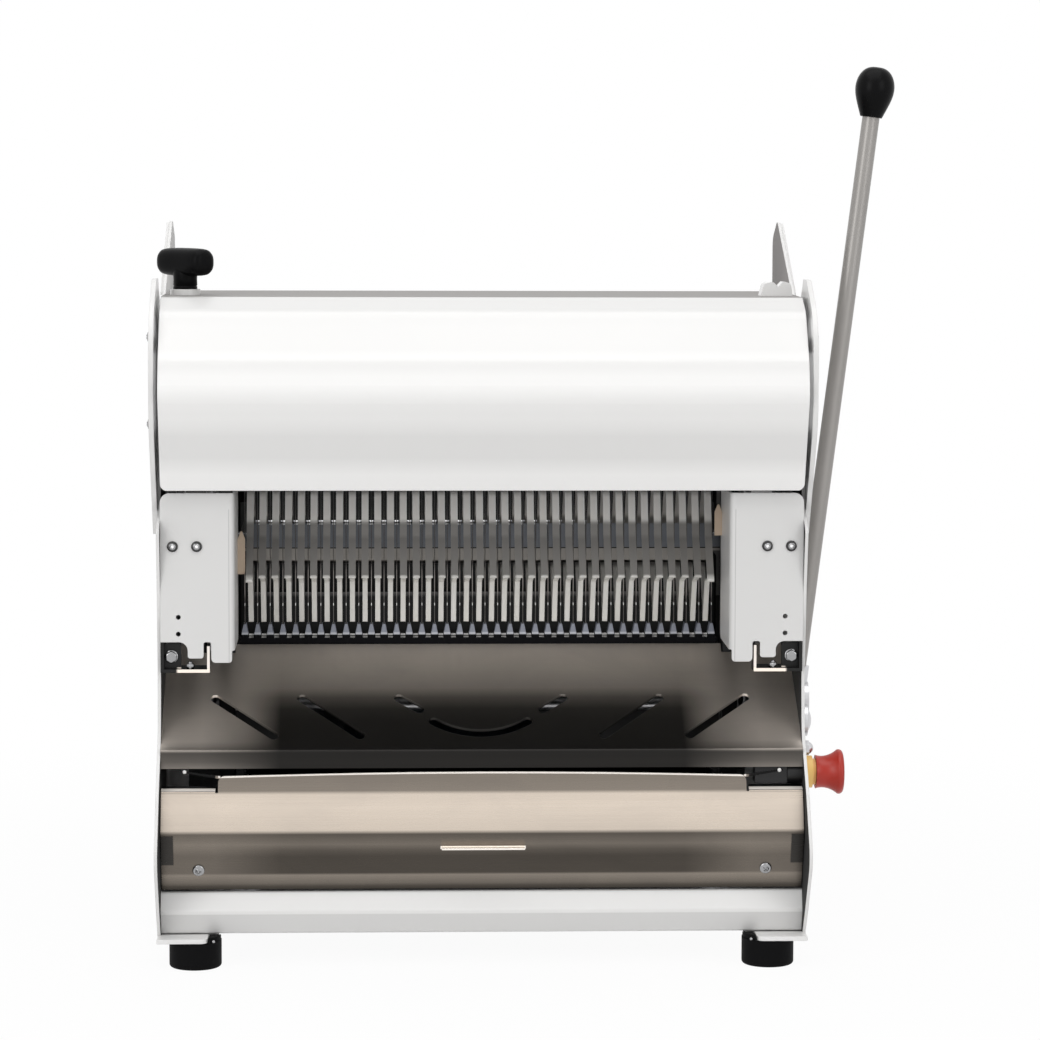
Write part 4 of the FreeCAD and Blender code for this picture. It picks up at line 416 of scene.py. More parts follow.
def add_piece(name, mesh, material, body, stands_for=()):
    """Puts a finished mesh in the scene, riding on its body."""
    piece = placed(name, mesh)
    mesh.materials.clear()
    mesh.materials.append(material)
    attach(piece, body)
    if stands_for:
        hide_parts(*stands_for)


# Meshes of the small fittings

class Build:
    """Gathers lofted shapes, in millimetres, into one mesh."""

    def __init__(self):
        self.mesh = bmesh.new()

    def loft(self, rings):
        """Skins rings of equal count, and closes both ends."""
        loops = [[self.mesh.verts.new(Vector(point) * MM) for point in ring] for ring in rings]
        count = len(loops[0])
        for low, high in zip(loops, loops[1:]):
            for i in range(count):
                j = (i + 1) % count
                self.mesh.faces.new((low[i], low[j], high[j], high[i]))
        self.mesh.faces.new(loops[0][::-1])
        self.mesh.faces.new(loops[-1])

    def turned(self, seat, axis, profile, segments=32, outline=None):
        """A turned shape: profile is (radius, height) from the seat up. outline gives an angle's reach."""
        turn = Vector(axis).to_track_quat("Z", "Y")
        rings = []
        for radius, height in profile:
            ring = []
            for i in range(segments):
                angle = 2 * math.pi * i / segments
                reach = outline(angle, radius) if outline else radius
                point = Vector((reach * math.cos(angle), reach * math.sin(angle), height))
                ring.append(Vector(seat) + turn @ point)
            rings.append(ring)
        self.loft(rings)

    def done(self, name, smooth=True):
        bmesh.ops.recalc_face_normals(self.mesh, faces=self.mesh.faces)
        for face in self.mesh.faces:
            face.smooth = smooth
        made = bpy.data.meshes.new(name)
        self.mesh.to_mesh(made)
        self.mesh.free()
        return made


def hexagonal(flat):
    """Outline of a bolt head: a hexagon across its flats, cut back where the profile is narrower."""
    def outline(angle, radius):
        turn = (angle + math.pi / 6) % (math.pi / 3) - math.pi / 6
        return min(radius, flat / math.cos(turn))
    return outline


def joined(name, *meshes):
    """One mesh out of several, each keeping its own shading."""
    whole = bmesh.new()
    for mesh in meshes:
        whole.from_mesh(mesh)
    made = bpy.data.meshes.new(name)
    whole.to_mesh(made)
    whole.free()
    return made


# Geometry Nodes

class Nodes:
    """A Geometry Nodes tree with named inputs."""

    def __init__(self, name):
        self.tree = bpy.data.node_groups.new(name, "GeometryNodeTree")
        for way in ("OUTPUT", "INPUT"):
            self.tree.interface.new_socket("Geometry", in_out=way, socket_type="NodeSocketGeometry")
        self.inside = None

    def asks(self, kind, *names):
        for name in names:
            self.tree.interface.new_socket(name, in_out="INPUT", socket_type=kind)

    def given(self, name):
        if self.inside is None:
            self.inside = self.tree.nodes.new("NodeGroupInput")
        return self.inside.outputs[name]

    def add(self, kind, inputs=None, output=0, **settings):
        """Adds one node and gives one of its outputs."""
        node = self.tree.nodes.new(kind)
        for key, value in settings.items():
            setattr(node, key, value)
        for key, value in (inputs or {}).items():
            for part in value if isinstance(value, list) else [value]:
                if isinstance(part, bpy.types.NodeSocket):
                    self.tree.links.new(part, node.inputs[key])
                else:
                    node.inputs[key].default_value = part
        return node.outputs[output]

    def calc(self, operation, first, second=0.0):
        return self.add("ShaderNodeMath", {0: first, 1: second}, operation=operation)

    def ends_in_copies(self, places):
        """Ends the tree in an instance on every place, made real, in the material that is asked for."""
        spread = self.add("GeometryNodeInstanceOnPoints", places)
        real = self.add("GeometryNodeRealizeInstances", {"Geometry": spread})
        laid_over = self.add("GeometryNodeSetMaterial", {"Geometry": real, "Material": self.given("Material")})
        outside = self.tree.nodes.new("NodeGroupOutput")
        self.tree.links.new(laid_over, outside.inputs[0])
        return self.tree


def screw_tree():
    """Puts a domed head with a cross recess on every point, along the point's axis."""
    nodes = Nodes("cross_recess_screws")
    nodes.asks("NodeSocketFloat", "Radius", "Height", "Recess Length", "Recess Width", "Recess Depth")
    nodes.asks("NodeSocketMaterial", "Material")
    shoulder, shoulder_power = 0.72, 4.0    # how the head's side draws in towards its top
    dome_fall, dome_power = 0.26, 3.0       # how its top falls away from the middle
    sunk_share = 0.4                        # of the recess's depth that lies under the head's height

    blank = nodes.add("GeometryNodeMeshCylinder", {
        "Vertices": 24, "Side Segments": 5, "Fill Segments": 3, "Radius": 1.0, "Depth": 1.0})
    place = nodes.add("GeometryNodeInputPosition")
    split = nodes.add("ShaderNodeSeparateXYZ", {0: place}).node
    across, along, up = split.outputs
    level = nodes.calc("ADD", up, 0.5)
    drawn = nodes.calc("MULTIPLY", nodes.calc("POWER", level, shoulder_power), shoulder)
    ledge = nodes.calc("SUBTRACT", 1.0, drawn)
    reach = nodes.calc("MULTIPLY", nodes.calc("SQRT", ledge), nodes.given("Radius"))
    flat = nodes.add("ShaderNodeCombineXYZ", {0: across, 1: along, 2: 0.0})
    out = nodes.add("ShaderNodeVectorMath", {0: flat}, output="Value", operation="LENGTH")
    fallen = nodes.calc("MULTIPLY", nodes.calc("POWER", out, dome_power), dome_fall)
    fall = nodes.calc("SUBTRACT", 1.0, fallen)
    rise = nodes.calc("MULTIPLY", nodes.calc("MULTIPLY", level, fall), nodes.given("Height"))
    moved = nodes.add("ShaderNodeCombineXYZ", {
        0: nodes.calc("MULTIPLY", across, reach), 1: nodes.calc("MULTIPLY", along, reach), 2: rise})
    dome = nodes.add("GeometryNodeSetPosition", {"Geometry": blank, "Position": moved})

    length, width, depth = (nodes.given("Recess " + name) for name in ("Length", "Width", "Depth"))
    sunk = nodes.add("ShaderNodeCombineXYZ", {
        2: nodes.calc("SUBTRACT", nodes.given("Height"), nodes.calc("MULTIPLY", depth, sunk_share))})
    arms = []
    for first, second in ((length, width), (width, length)):
        size = nodes.add("ShaderNodeCombineXYZ", {0: first, 1: second, 2: depth})
        arm = nodes.add("GeometryNodeMeshCube", {"Size": size})
        arms.append(nodes.add("GeometryNodeTransform", {"Geometry": arm, "Translation": sunk}))
    cross = nodes.add("GeometryNodeMeshBoolean", {1: arms}, operation="UNION", solver="EXACT")
    head = nodes.add("GeometryNodeMeshBoolean", {0: dome, 1: cross}, operation="DIFFERENCE", solver="EXACT")
    head = nodes.add("GeometryNodeSetShadeSmooth", {"Geometry": head, "Shade Smooth": False})

    axis = nodes.add("GeometryNodeInputNamedAttribute", {"Name": "axis"}, data_type="FLOAT_VECTOR")
    turn = nodes.add("GeometryNodeInputNamedAttribute", {"Name": "turn"}, data_type="FLOAT")
    upright = nodes.add("FunctionNodeAlignRotationToVector", {"Vector": axis}, axis="Z")
    spin = nodes.add("ShaderNodeCombineXYZ", {2: turn})
    turned = nodes.add("FunctionNodeRotateRotation", {
        0: upright, 1: nodes.add("FunctionNodeEulerToRotation", {0: spin})}, rotation_space="LOCAL")
    return nodes.ends_in_copies({"Points": nodes.given("Geometry"), "Instance": head, "Rotation": turned})


def row_tree():
    """Sets copies of a shape in a row across the machine, the middle one where the shape is."""
    nodes = Nodes("row_across")
    nodes.asks("NodeSocketInt", "Count")
    nodes.asks("NodeSocketFloat", "Pitch")
    nodes.asks("NodeSocketMaterial", "Material")
    half = nodes.calc("MULTIPLY", nodes.calc("SUBTRACT", nodes.given("Count"), 1.0), -0.5)
    start = nodes.add("ShaderNodeCombineXYZ", {0: nodes.calc("MULTIPLY", half, nodes.given("Pitch"))})
    step = nodes.add("ShaderNodeCombineXYZ", {0: nodes.given("Pitch")})
    line = nodes.add("GeometryNodeMeshLine", {
        "Count": nodes.given("Count"), "Start Location": start, "Offset": step}, mode="OFFSET")
    return nodes.ends_in_copies({"Points": line, "Instance": nodes.given("Geometry")})


def repeated(name, mesh, tree, values):
    """The plain mesh that a tree makes out of a mesh, with the tree's inputs set by name."""
    holder = placed(name + "_source", mesh)
    repeat = holder.modifiers.new("repeat", "NODES")
    repeat.node_group = tree
    for item in tree.interface.items_tree:
        if item.name in values:
            repeat[item.identifier] = values[item.name]
    holder.update_tag()
    bpy.context.view_layer.update()
    made = bpy.data.meshes.new_from_object(holder.evaluated_get(bpy.context.evaluated_depsgraph_get()))
    bpy.data.objects.remove(holder)
    if not made.polygons:
        raise RuntimeError(name + " came out empty")
    return made


def screws(name, seats, material, radius=None):
    """A plain mesh of screws. Each seat is (place in mm, axis, turn in degrees)."""
    look = bpy.context.scene.slicer_screws
    points = bpy.data.meshes.new(name + "_points")
    points.from_pydata([Vector(place) * MM for place, axis, turn in seats], [], [])
    points.attributes.new("axis", "FLOAT_VECTOR", "POINT")
    points.attributes.new("turn", "FLOAT", "POINT")
    for i, (place, axis, turn) in enumerate(seats):
        points.attributes["axis"].data[i].vector = axis
        points.attributes["turn"].data[i].value = math.radians(turn)
    sizes = {part.replace("_", " ").title(): getattr(look, part) for part in SlicerScrews.__annotations__}
    if radius:
        sizes["Radius"] = radius
    tree = bpy.data.node_groups.get("cross_recess_screws") or screw_tree()
    return repeated(name, points, tree, {**sizes, "Material": material})


# Pieces

class SLICER_OT_painted_sheets(bpy.types.Operator):
    """White powder coat on the housing's sheets"""
    bl_idname = "slicer.painted_sheets"
    bl_label = "Painted sheets"

    def execute(self, context):
        white = finishes().paint
        # Near black for painted shade, where shade falls in gaps and inside the housing.
        painted_shade = grey(0.012)
        wear(powder_coat("powder_coat_housing", white, 0.30, 0.30),
             "side_cover_left", "side_cover_right", "bottom_pan", "clamp_bracket")
        fin_foot = 598.0
        # Painted shade: each frame's inner face is near black under fin_foot, and the right frame's inner
        # face is grey above it; these faces also lose the gloss.
        for side, inwards in (("left", 1.0), ("right", -1.0)):
            inner = ((inwards, 0.0, 0.0), 0.5)
            painted_shade_below = (painted_shade, inner, ("Z", 0.0, fin_foot, 3.0), ("Y", -330.0, -120.0, 20.0))
            painted_fin_shade = ((0.38, 0.362, 0.355), inner, ("Z", fin_foot, 800.0, 3.0), ("Y", -330.0, 100.0, 20.0))
            painted_shades = (painted_shade_below, painted_fin_shade) if side == "right" else (painted_shade_below,)
            wear(powder_coat("powder_coat_frame_" + side, white, 0.30, 0.30, *painted_shades, matt=(inner,)),
                 "side_frame_" + side)
        # Painted shade: the rear cover's inner face, turned forwards, is near black.
        painted_shade_inside_cover = (painted_shade, (FORWARDS, 0.5))
        wear(powder_coat("powder_coat_rear", white, 0.30, 0.30, painted_shade_inside_cover), "rear_cover")

        # Painted light and shade: the hood's white is made lighter or darker in zones by height.
        painted_light_bands = [band(shade(white, share), *heights) for share, *heights in (
            (1.17, 430.0, 556.0, 12.0), (1.13, 497.0, 516.0, 6.0), (1.01, 461.0, 497.0, 8.0),
            (0.97, 594.0, 630.0, 6.0))]
        # Painted shade: the hood's level top is grey and its inside near black, both without the gloss.
        level = (UPWARDS, 0.985)
        underneath = ((0.0, 0.75, -0.66), 0.0)
        painted_deck_shade = ((0.34, 0.329, 0.32), level)
        wear(powder_coat("powder_coat_hood", white, 0.22, 0.45, *painted_light_bands, (painted_shade, underneath), painted_deck_shade,
                         matt=(level, underneath)), "hood")
        wear(powder_coat("powder_coat_lugs", white, 0.22, 0.45), "hood_lugs")

        # Painted shade: the cheeks are a darkened copy of the paint, with a thin darker line along each
        # cheek's bend.
        painted_bend_shade = [(shade(white, 0.62), ANY_WAY, ("X", low, high, SHARP), ("Z", 200.0, 420.0, 1.0))
                 for low, high in both_ends(231.9, 232.5)]
        wear(powder_coat("powder_coat_cheeks", shade(white, 0.93), 0.34, 0.25, *painted_bend_shade),
             "cheek_left", "cheek_right")
        # Painted light and shade: the beam is a lightened copy of the paint, with painted shade on its lower
        # part up to 48.5 mm.
        nose = band(shade(white, 0.94), 0.0, 48.5, 0.6)
        wear(powder_coat("powder_coat_beam", shade(white, 1.16), 0.30, 0.30, nose), "front_beam")
        return {"FINISHED"}


class SLICER_OT_stainless_sheets(bpy.types.Operator):
    """Brushed stainless on the table, the tray and the hopper"""
    bl_idname = "slicer.stainless_sheets"
    bl_label = "Stainless sheets"

    def execute(self, context):
        # The table: painted reflection and shade, near black under the throat, lighter up its slope,
        # and lighter still near its ends
        middle = ((180.0, 0.012), (188.0, 0.015), (194.0, 0.012), (200.0, 0.013), (222.0, 0.018),
                  (230.0, 0.030), (238.5, 0.11), (246.0, 0.30), (280.0, 0.60))
        beside = ((180.0, 0.24), (189.0, 0.11), (197.0, 0.07), (200.0, 0.28), (206.0, 0.60),
                  (225.0, 0.90), (246.0, 0.74), (280.0, 0.68))
        wear(banded_sheet("brushed_table", finishes().table, 0.34, 0.006 * MM, middle,
                          (222.0, 36.0, beside), metallic=0.7), "outfeed_table")

        # The tray: painted reflection and shade by height, a pale upper face and a near-black recess
        # between two bend lines, and painted highlights along its upper edge
        def crown(finish):
            """Height above the tray front's edge, which rises to its middle."""
            rise_per_metre = 0.058
            return coordinate(finish, "Z") + coordinate(finish, "X") ** 2.0 * rise_per_metre

        # Near black for painted shade on the pan behind the front and at the front's corners; light for
        # painted highlights on the handle lip and along the upper edge.
        painted_shade, bright = grey(0.015), (1.0, 0.94, 0.87)
        front_back = -236.5                     # the tray's front ends and its pan begins
        front = ("Y", -270.0, front_back, 0.5)
        handle = (("X", -39.0, 39.0, SHARP), ("Z", 110.5, 113.5, SHARP))
        patches = [(painted_shade, ANY_WAY, ("Y", front_back, 0.0, 0.5)), (bright, ANY_WAY, *handle)]
        laid_over = [(bright, ANY_WAY, ("X", -242.0, 242.0, SHARP), front, (crown, 178.4, 190.0, SHARP))]
        for low, high in both_ends(244.5):
            corner = ("X", low, high, SHARP)
            patches.append((painted_shade, ANY_WAY, corner, ("Z", 166.8, 200.0, SHARP)))
            laid_over.append((bright, ANY_WAY, corner, front, ("Z", 163.2, 166.8, SHARP)))
        # Painted shade on the front's outer ends.
        for low, high in both_ends(282.7):
            patches.append(((0.05, 0.047, 0.044), ANY_WAY, ("X", low, high, SHARP), ("Z", 96.0, 124.0, 0.3)))
        heights = (71.5, 74.5, 77.5, 85.5, 87.5, 104.0, 110.0, 115.5, 125.5, 129.0, 150.0, 160.5, 163.5,
                   184.0)
        middle = (0.05, 0.08, 0.16, 0.25, 0.078, 0.075, 0.11, 0.18, 0.11, 0.62, 0.70, 0.66, 0.25, 0.21)
        beside = (0.05, 0.08, 0.16, 0.26, 0.16, 0.15, 0.19, 0.22, 0.15, 0.62, 0.70, 0.66, 0.25, 0.21)
        wear(banded_sheet("brushed_tray", finishes().tray, 0.28, 0.006 * MM,
                          tuple(zip(heights, middle)), (215.0, 30.0, tuple(zip(heights, beside))),
                          patches, laid_over), "crumb_tray")

        # The hopper: a sheet darkened as painted shade, painted glints on the floor's front edge,
        # and painted shade, near black, on a dull field between the walls
        # Painted glints on the floor's front edge.
        painted_glint_edge = ((1.0, 0.98, 0.95), (FORWARDS, 0.6), ("Y", -100.0, -93.5, SHARP))
        ground = [(*painted_glint_edge, ("Z", low, high, SHARP)) for low, high in ((285.0, 286.9), (287.8, 290.0))]
        inner_floor = (ANY_WAY, ("Y", -200.0, 235.0, 30.0))
        shaded = (grey(0.02), *inner_floor)
        wear(brushed_sheet("brushed_hopper", (0.20, 0.195, 0.19), 0.36, (700.0, 6.0, 700.0), 0.006 * MM,
                           (shaded, *ground), inner_floor),
             "hopper_floor", "hopper_wall_left", "hopper_wall_right")
        return {"FINISHED"}


class SLICER_OT_cutting_parts(bpy.types.Operator):
    """Blades, comb and the guides that hold them"""
    bl_idname = "slicer.cutting_parts"
    bl_label = "Cutting parts"

    def execute(self, context):
        # Painted light on the blades: lighter from 326 to 353 mm, painted shade near black from 404 to 470
        # mm, and a painted glint from 316.5 to 319 mm.
        wear(turned_steel("ground_blades", finishes().blades, 0.30, (1.0, 1.0, 0.05), patches=(
            band((0.40, 0.37, 0.35), 326.0, 353.0, 4.0), band(grey(0.06), 404.0, 470.0, 6.0),
            band((1.0, 1.0, 0.98), 316.5, 319.0))), "blades_front", "blades_rear")

        def off_finger(finish):
            """Distance across from the middle of the nearest finger."""
            share = coordinate(finish, "X") * (1.0 / FINGER_PITCH) + 0.5
            return abs(share.math("FRACT", share) - 0.5) * FINGER_PITCH

        bend, top, over = 350.5, 400.0, 700.0   # heights of the fingers' bend, their upper bars and past all
        # Painted shade on the fingers from their bend to the upper bars, painted light on the upper bars, and
        # painted highlights along each finger's sides.
        fingers = turned_steel("bent_fingers", finishes().comb, 0.34, (1.0, 0.2, 0.2), 0.05, (
            band((0.31, 0.298, 0.284), bend, top, 2.0), band((1.0, 0.97, 0.93), top, over, 4.0),
            band((1.0, 0.98, 0.95), 406.0, over, 4.0, (off_finger, 1.9, 4.0, 0.4))))
        wear(fingers, "pusher_comb")

        half_finger = 2.4
        bend_middle, bend_radius = Vector((-97.7, 316.9)), 7.9
        arc = [bend_middle + bend_radius * Vector((math.cos(a), math.sin(a)))
               for a in (math.radians(d) for d in (-34, -50, -70, -90, -110, -130, -155))]
        nose = [(-105.1, 313.7), (-99.9, 302.3), (-99.4, 301.5), (-98.8, 301.2), (-98.2, 301.5),
                (-97.8, 302.0), (-91.0, 312.4), *arc]
        tips = Build()
        tips.loft([[(x, y, z) for y, z in nose] for x in (-half_finger, half_finger)])
        row = repeated("comb_tips", tips.done("comb_tip", smooth=False), row_tree(), {
            "Count": FINGER_COUNT, "Pitch": FINGER_PITCH, "Material": fingers})
        add_piece("comb_tips", row, fingers, "pusher")

        # Painted shade in two near-black lines at the bar's bend lines, and painted highlights on its top
        # edge between the fingers.
        bend_line_shade = grey(0.02)
        wear(turned_steel("pusher_plate", (0.36, 0.34, 0.315), 0.36, (0.1, 1.0, 1.0), patches=(
            band((0.19, 0.20, 0.22), 368.5, top),
            band(grey(1.0), 390.5, top, SHARP, (off_finger, 4.5, 7.0, 0.3)),
            band(bend_line_shade, 367.5, 368.5), band(bend_line_shade, 352.5, 353.8))), "pusher_bar")
        # Painted light on the near-black guides: lighter wedges, and a painted highlight along their feet.
        wedges = band((0.33, 0.35, 0.41), 289.5, 400.0, 0.3)
        wedge_feet = band((0.60, 0.62, 0.67), 289.0, 291.1, 0.3)
        wear(moulded("guide_plastic", (0.006, 0.006, 0.007), 0.45, 260.0, 0.03 * MM, 0.4, 0.04,
                     (wedges, wedge_feet)), "lower_blade_guide", "upper_blade_guide")
        wear(moulded("strip_wood", (0.56, 0.44, 0.33), 0.55, 120.0, 0.04 * MM), "throat_strips")
        return {"FINISHED"}


class SLICER_OT_drive_parts(bpy.types.Operator):
    """Frames, connecting rod, crank, belt and motor"""
    bl_idname = "slicer.drive_parts"
    bl_label = "Drive parts"

    def execute(self, context):
        # Painted shade: the blade frames are near black.
        wear(cast_metal("frames_darkened_for_shade", (0.012, 0.012, 0.013), 0.6, 0.3),
             "blade_frame_front", "blade_frame_rear")
        wear(cast_metal("cast_frames", finishes().castings, 0.46),
             "guide_brackets", "connecting_rod", "crank_pulley",
             "crank_bearings", "shaft_bearings", "motor_pulley", "pusher_carriages", "rail_clamps")
        wear(moulded("belt_rubber", grey(0.014), 0.75, 420.0, 0.05 * MM), "drive_belt")
        wear(powder_coat("motor_paint", (0.045, 0.055, 0.065), 0.42, 0.1), "motor")
        wear(moulded("inlet_plastic", finishes().black, 0.45, 300.0, 0.03 * MM), "power_inlet")
        return {"FINISHED"}


class SLICER_OT_plated_parts(bpy.types.Operator):
    """Zinc-plated shafts, rails, hinges and brackets"""
    bl_idname = "slicer.plated_parts"
    bl_label = "Plated parts"

    def execute(self, context):
        wear(turned_steel("zinc_plate", finishes().plating, 0.32),
             "hood_pins", "hood_hinges", "clamp_screw", "guide_rods", "rocker", "crank_shaft",
             "motor_bracket", "carriage_rollers", "pusher_rails", "cross_shaft", "lever_hub",
             "side_fittings", "tray_runners")
        # Painted shade and painted highlights: the cheeks' brackets are near black, with light strips along
        # their front edge.
        front = (FORWARDS, 0.7)
        painted_edge_highlights = []
        for low, high in both_ends(200.0, 280.0):
            painted_edge_highlights.append(((1.0, 0.90, 0.80), front, ("Z", 268.5, 273.5, SHARP), ("X", low, high, 1.0)))
        for low, high in both_ends(200.0, 253.5):
            painted_edge_highlights.append(((0.9, 0.84, 0.78), front, ("Z", 273.5, 400.0, SHARP), ("X", low, high, SHARP)))
        wear(turned_steel("bracket_shade_and_highlights", grey(0.03), 0.42, patches=painted_edge_highlights), "cheek_brackets")
        return {"FINISHED"}


class SLICER_OT_screws(bpy.types.Operator):
    """Cross-recess screws of covers, cheeks and tray, and the bolts of the cheeks' brackets"""
    bl_idname = "slicer.screws"
    bl_label = "Screws and bolts"

    def execute(self, context):
        pair_middle, pair_half, pair_height = 272.5, 11.0, 386.0

        def off_cheek_screw(finish):
            """Distance from the middle of the nearest of a cheek's two screws."""
            across = abs(abs(coordinate(finish, "X")) - pair_middle * MM) - pair_half * MM
            up = coordinate(finish, "Z") - pair_height * MM
            return (across ** 2.0 + up ** 2.0) ** 0.5

        # Painted shade and a painted glint on the cheek screws' heads: near black from 2.9 mm out from each
        # middle, white within 1.4 mm.
        plate = turned_steel("bright_zinc", shade(finishes().plating, 0.6), 0.22, patches=(
            (grey(0.05), ANY_WAY, (off_cheek_screw, 2.9, 6.5, 0.4)),
            (grey(1.0), ANY_WAY, (off_cheek_screw, -1.0, 1.4, 0.4))))
        cover_face, cheek_face = 302.5, -225.0
        seats = []
        for side in SIDES:
            for turn, y, z in ((12, -236, 578), (40, -236, 499), (75, 40, 573), (58, 40, 420)):
                seats.append(((side * cover_face, y, z), (side, 0.0, 0.0), turn))
            for turn, x in ((20, pair_middle - pair_half), (64, pair_middle + pair_half)):
                seats.append(((side * x, cheek_face, pair_height), FORWARDS, turn + 10 * side))
        heads = screws("fastener_heads", seats, plate)

        washer = 1.2
        thread_radius, thread_relief, half_pitch = 2.0, 0.18, 0.35
        thread = [(thread_radius - thread_relief * (i % 2), half_pitch * i) for i in range(19)]
        bolts = Build()
        for side in SIDES:
            level, upright = (side * 285.5, -214.0, 283.5), (side * 268.0, -218.5, 272.5)
            bolts.turned(level, FORWARDS, ((6.1, 0.0), (6.2, 0.3), (6.2, 0.9), (5.9, washer)))
            bolts.turned(Vector(level) - Vector((0.0, washer, 0.0)), FORWARDS,
                         ((5.5, 0.0), (5.5, 4.0), (4.75, 4.5), (3.6, 4.7)), 48, hexagonal(4.75))
            bolts.turned(upright, UPWARDS, ((3.7, 0.0), (3.7, 4.3), (3.2, 5.0)), 48, hexagonal(3.2))
            bolts.turned(upright, UPWARDS, thread + [(1.4, 7.0)], 20)
            rivet = (side * 246.0, -258.2, 27.2)
            bolts.turned(rivet, FORWARDS, ((1.3, -0.6), (1.35, 0.4), (0.8, 0.8)), 16)
        whole = joined("fastener_set", heads, bolts.done("bolts"))
        add_piece("cross_recess_fasteners", whole, plate, "base", ("fasteners",))

        off_slope = (0.0, -0.954, -0.299)
        tray_head_radius = 5.6 * MM
        pair = [((side * 260.0, -245.35, 90.8), off_slope, 25 + 30 * side) for side in SIDES]
        heads = screws("tray_heads", pair, plate, tray_head_radius)
        add_piece("tray_cross_screws", heads, plate, "crumb_tray", ("tray_screws",))
        pins = Build()
        for side in SIDES:
            pins.turned((side * 272.6, -240.6, 180.6), FORWARDS,
                        ((1.7, -1.8), (1.8, 0.2), (1.5, 0.9), (0.8, 1.3)), 20)
        add_piece("tray_end_pins", pins.done("tray_end_pins"),
                  moulded("pin_plastic", (0.9, 0.89, 0.86), 0.4, 300.0, 0.01 * MM), "crumb_tray")
        return {"FINISHED"}


class SLICER_OT_foot_flanges(bpy.types.Operator):
    """Turned-in ends of the frames over the front feet, and the rubber seats beside them"""
    bl_idname = "slicer.foot_flanges"
    bl_label = "Foot flanges"

    def execute(self, context):
        outer, inner, front, back = 297.9, 251.5, -259.5, -235.6    # plan of a flange
        corner_radius, bevel, half_width = 6.0, 0.4, 12.0
        low, high = 25.15, 29.45
        middle = Vector((275.0, -247.5))
        foot_x, foot_y, seat_radius = 263.5, -235.0, 23.4
        flanges, seats = Build(), Build()
        for side in SIDES:
            corner = [(inner + corner_radius * (1.0 - math.sin(a)),
                       front + corner_radius * (1.0 - math.cos(a)))
                      for a in (math.radians(d) for d in (0, 22, 45, 68, 90))]
            plan = [(outer, front), *corner, (inner, back), (outer, back)]
            rings = []
            for z, inset in ((low, bevel), (low + bevel, 0.0), (high - bevel, 0.0), (high, bevel)):
                ring = [middle + (Vector(point) - middle) * (1.0 - inset / half_width) for point in plan]
                rings.append([(side * x, y, z) for x, y in ring])
            flanges.loft(rings)
            round_seat = [(foot_x + seat_radius * math.cos(a), foot_y + seat_radius * math.sin(a))
                          for a in (math.radians(d) for d in range(180, 240, 6))]
            plan = [*round_seat, (250.5, -258.2), (250.5, -236.0), (240.5, -236.0)]
            seats.loft([[(side * x, y, z) for x, y in plan] for z in (25.1, 29.4)])
        # Painted light: the flanges are a lightened copy of the paint.
        add_piece("foot_flanges", flanges.done("foot_flanges", smooth=False),
                  powder_coat("powder_coat_flanges", shade(finishes().paint, 1.12), 0.30, 0.30), "base")
        add_piece("foot_seats", seats.done("foot_seats", smooth=False),
                  bpy.data.materials["foot_rubber"], "base")
        return {"FINISHED"}


class SLICER_OT_clamp_grip(bpy.types.Operator):
    """T grip with two full, rounded ends and a parting line, on a round stem"""
    bl_idname = "slicer.clamp_grip"
    bl_label = "Clamp grip"

    def execute(self, context):
        seat = Vector((-274.0, -160.0, 619.0))
        bar_height, bar_angle = 25.0, math.radians(-45.0)
        half_height, half_waist, half_swell, swell_at = 12.9, 12.4, 0.5, 20.0
        roundness = 2.5                         # of the bar's section: 2 is an ellipse
        corners = 40
        middle = seat + Vector((0.0, 0.0, bar_height))
        along = Vector((math.cos(bar_angle), math.sin(bar_angle), 0.0))
        across = Vector((-along.y, along.x, 0.0))
        half = ((0.0, 1.0), (8.0, 1.0), (15.0, 0.985), (21.0, 0.965), (25.0, 0.92), (27.6, 0.80),
                (29.0, 0.58), (29.4, 0.36))     # places along the bar, and the share of its section there
        stations = [(-place, share) for place, share in half[:0:-1]] + list(half)
        grip = Build()
        rings = []
        for place, share in stations:
            ring = []
            for i in range(corners):
                angle = 2 * math.pi * i / corners
                c, s = math.cos(angle), math.sin(angle)
                bulge = (abs(c) ** roundness + abs(s) ** roundness) ** (-1 / roundness)
                waist = half_waist + half_swell * min(1.0, abs(place) / swell_at)
                reach = (across * c * waist + Vector((0, 0, s * half_height))) * bulge * share
                ring.append(middle + along * place + reach)
            rings.append(ring)
        grip.loft(rings)
        grip.turned(seat, UPWARDS, (
            (10.6, 0.0), (11.2, 0.5), (11.2, 2.2), (10.7, 2.6), (10.7, 3.1), (11.2, 3.5), (11.0, 9.0),
            (11.2, 13.0), (11.4, 22.0)), 36)
        add_piece("clamp_t_grip", grip.done("clamp_t_grip"),
                  moulded("grip_plastic", shade(finishes().black, 0.35), 0.34, 300.0, 0.02 * MM, gloss=0.06),
                  "clamp", ("clamp_knob",))
        return {"FINISHED"}


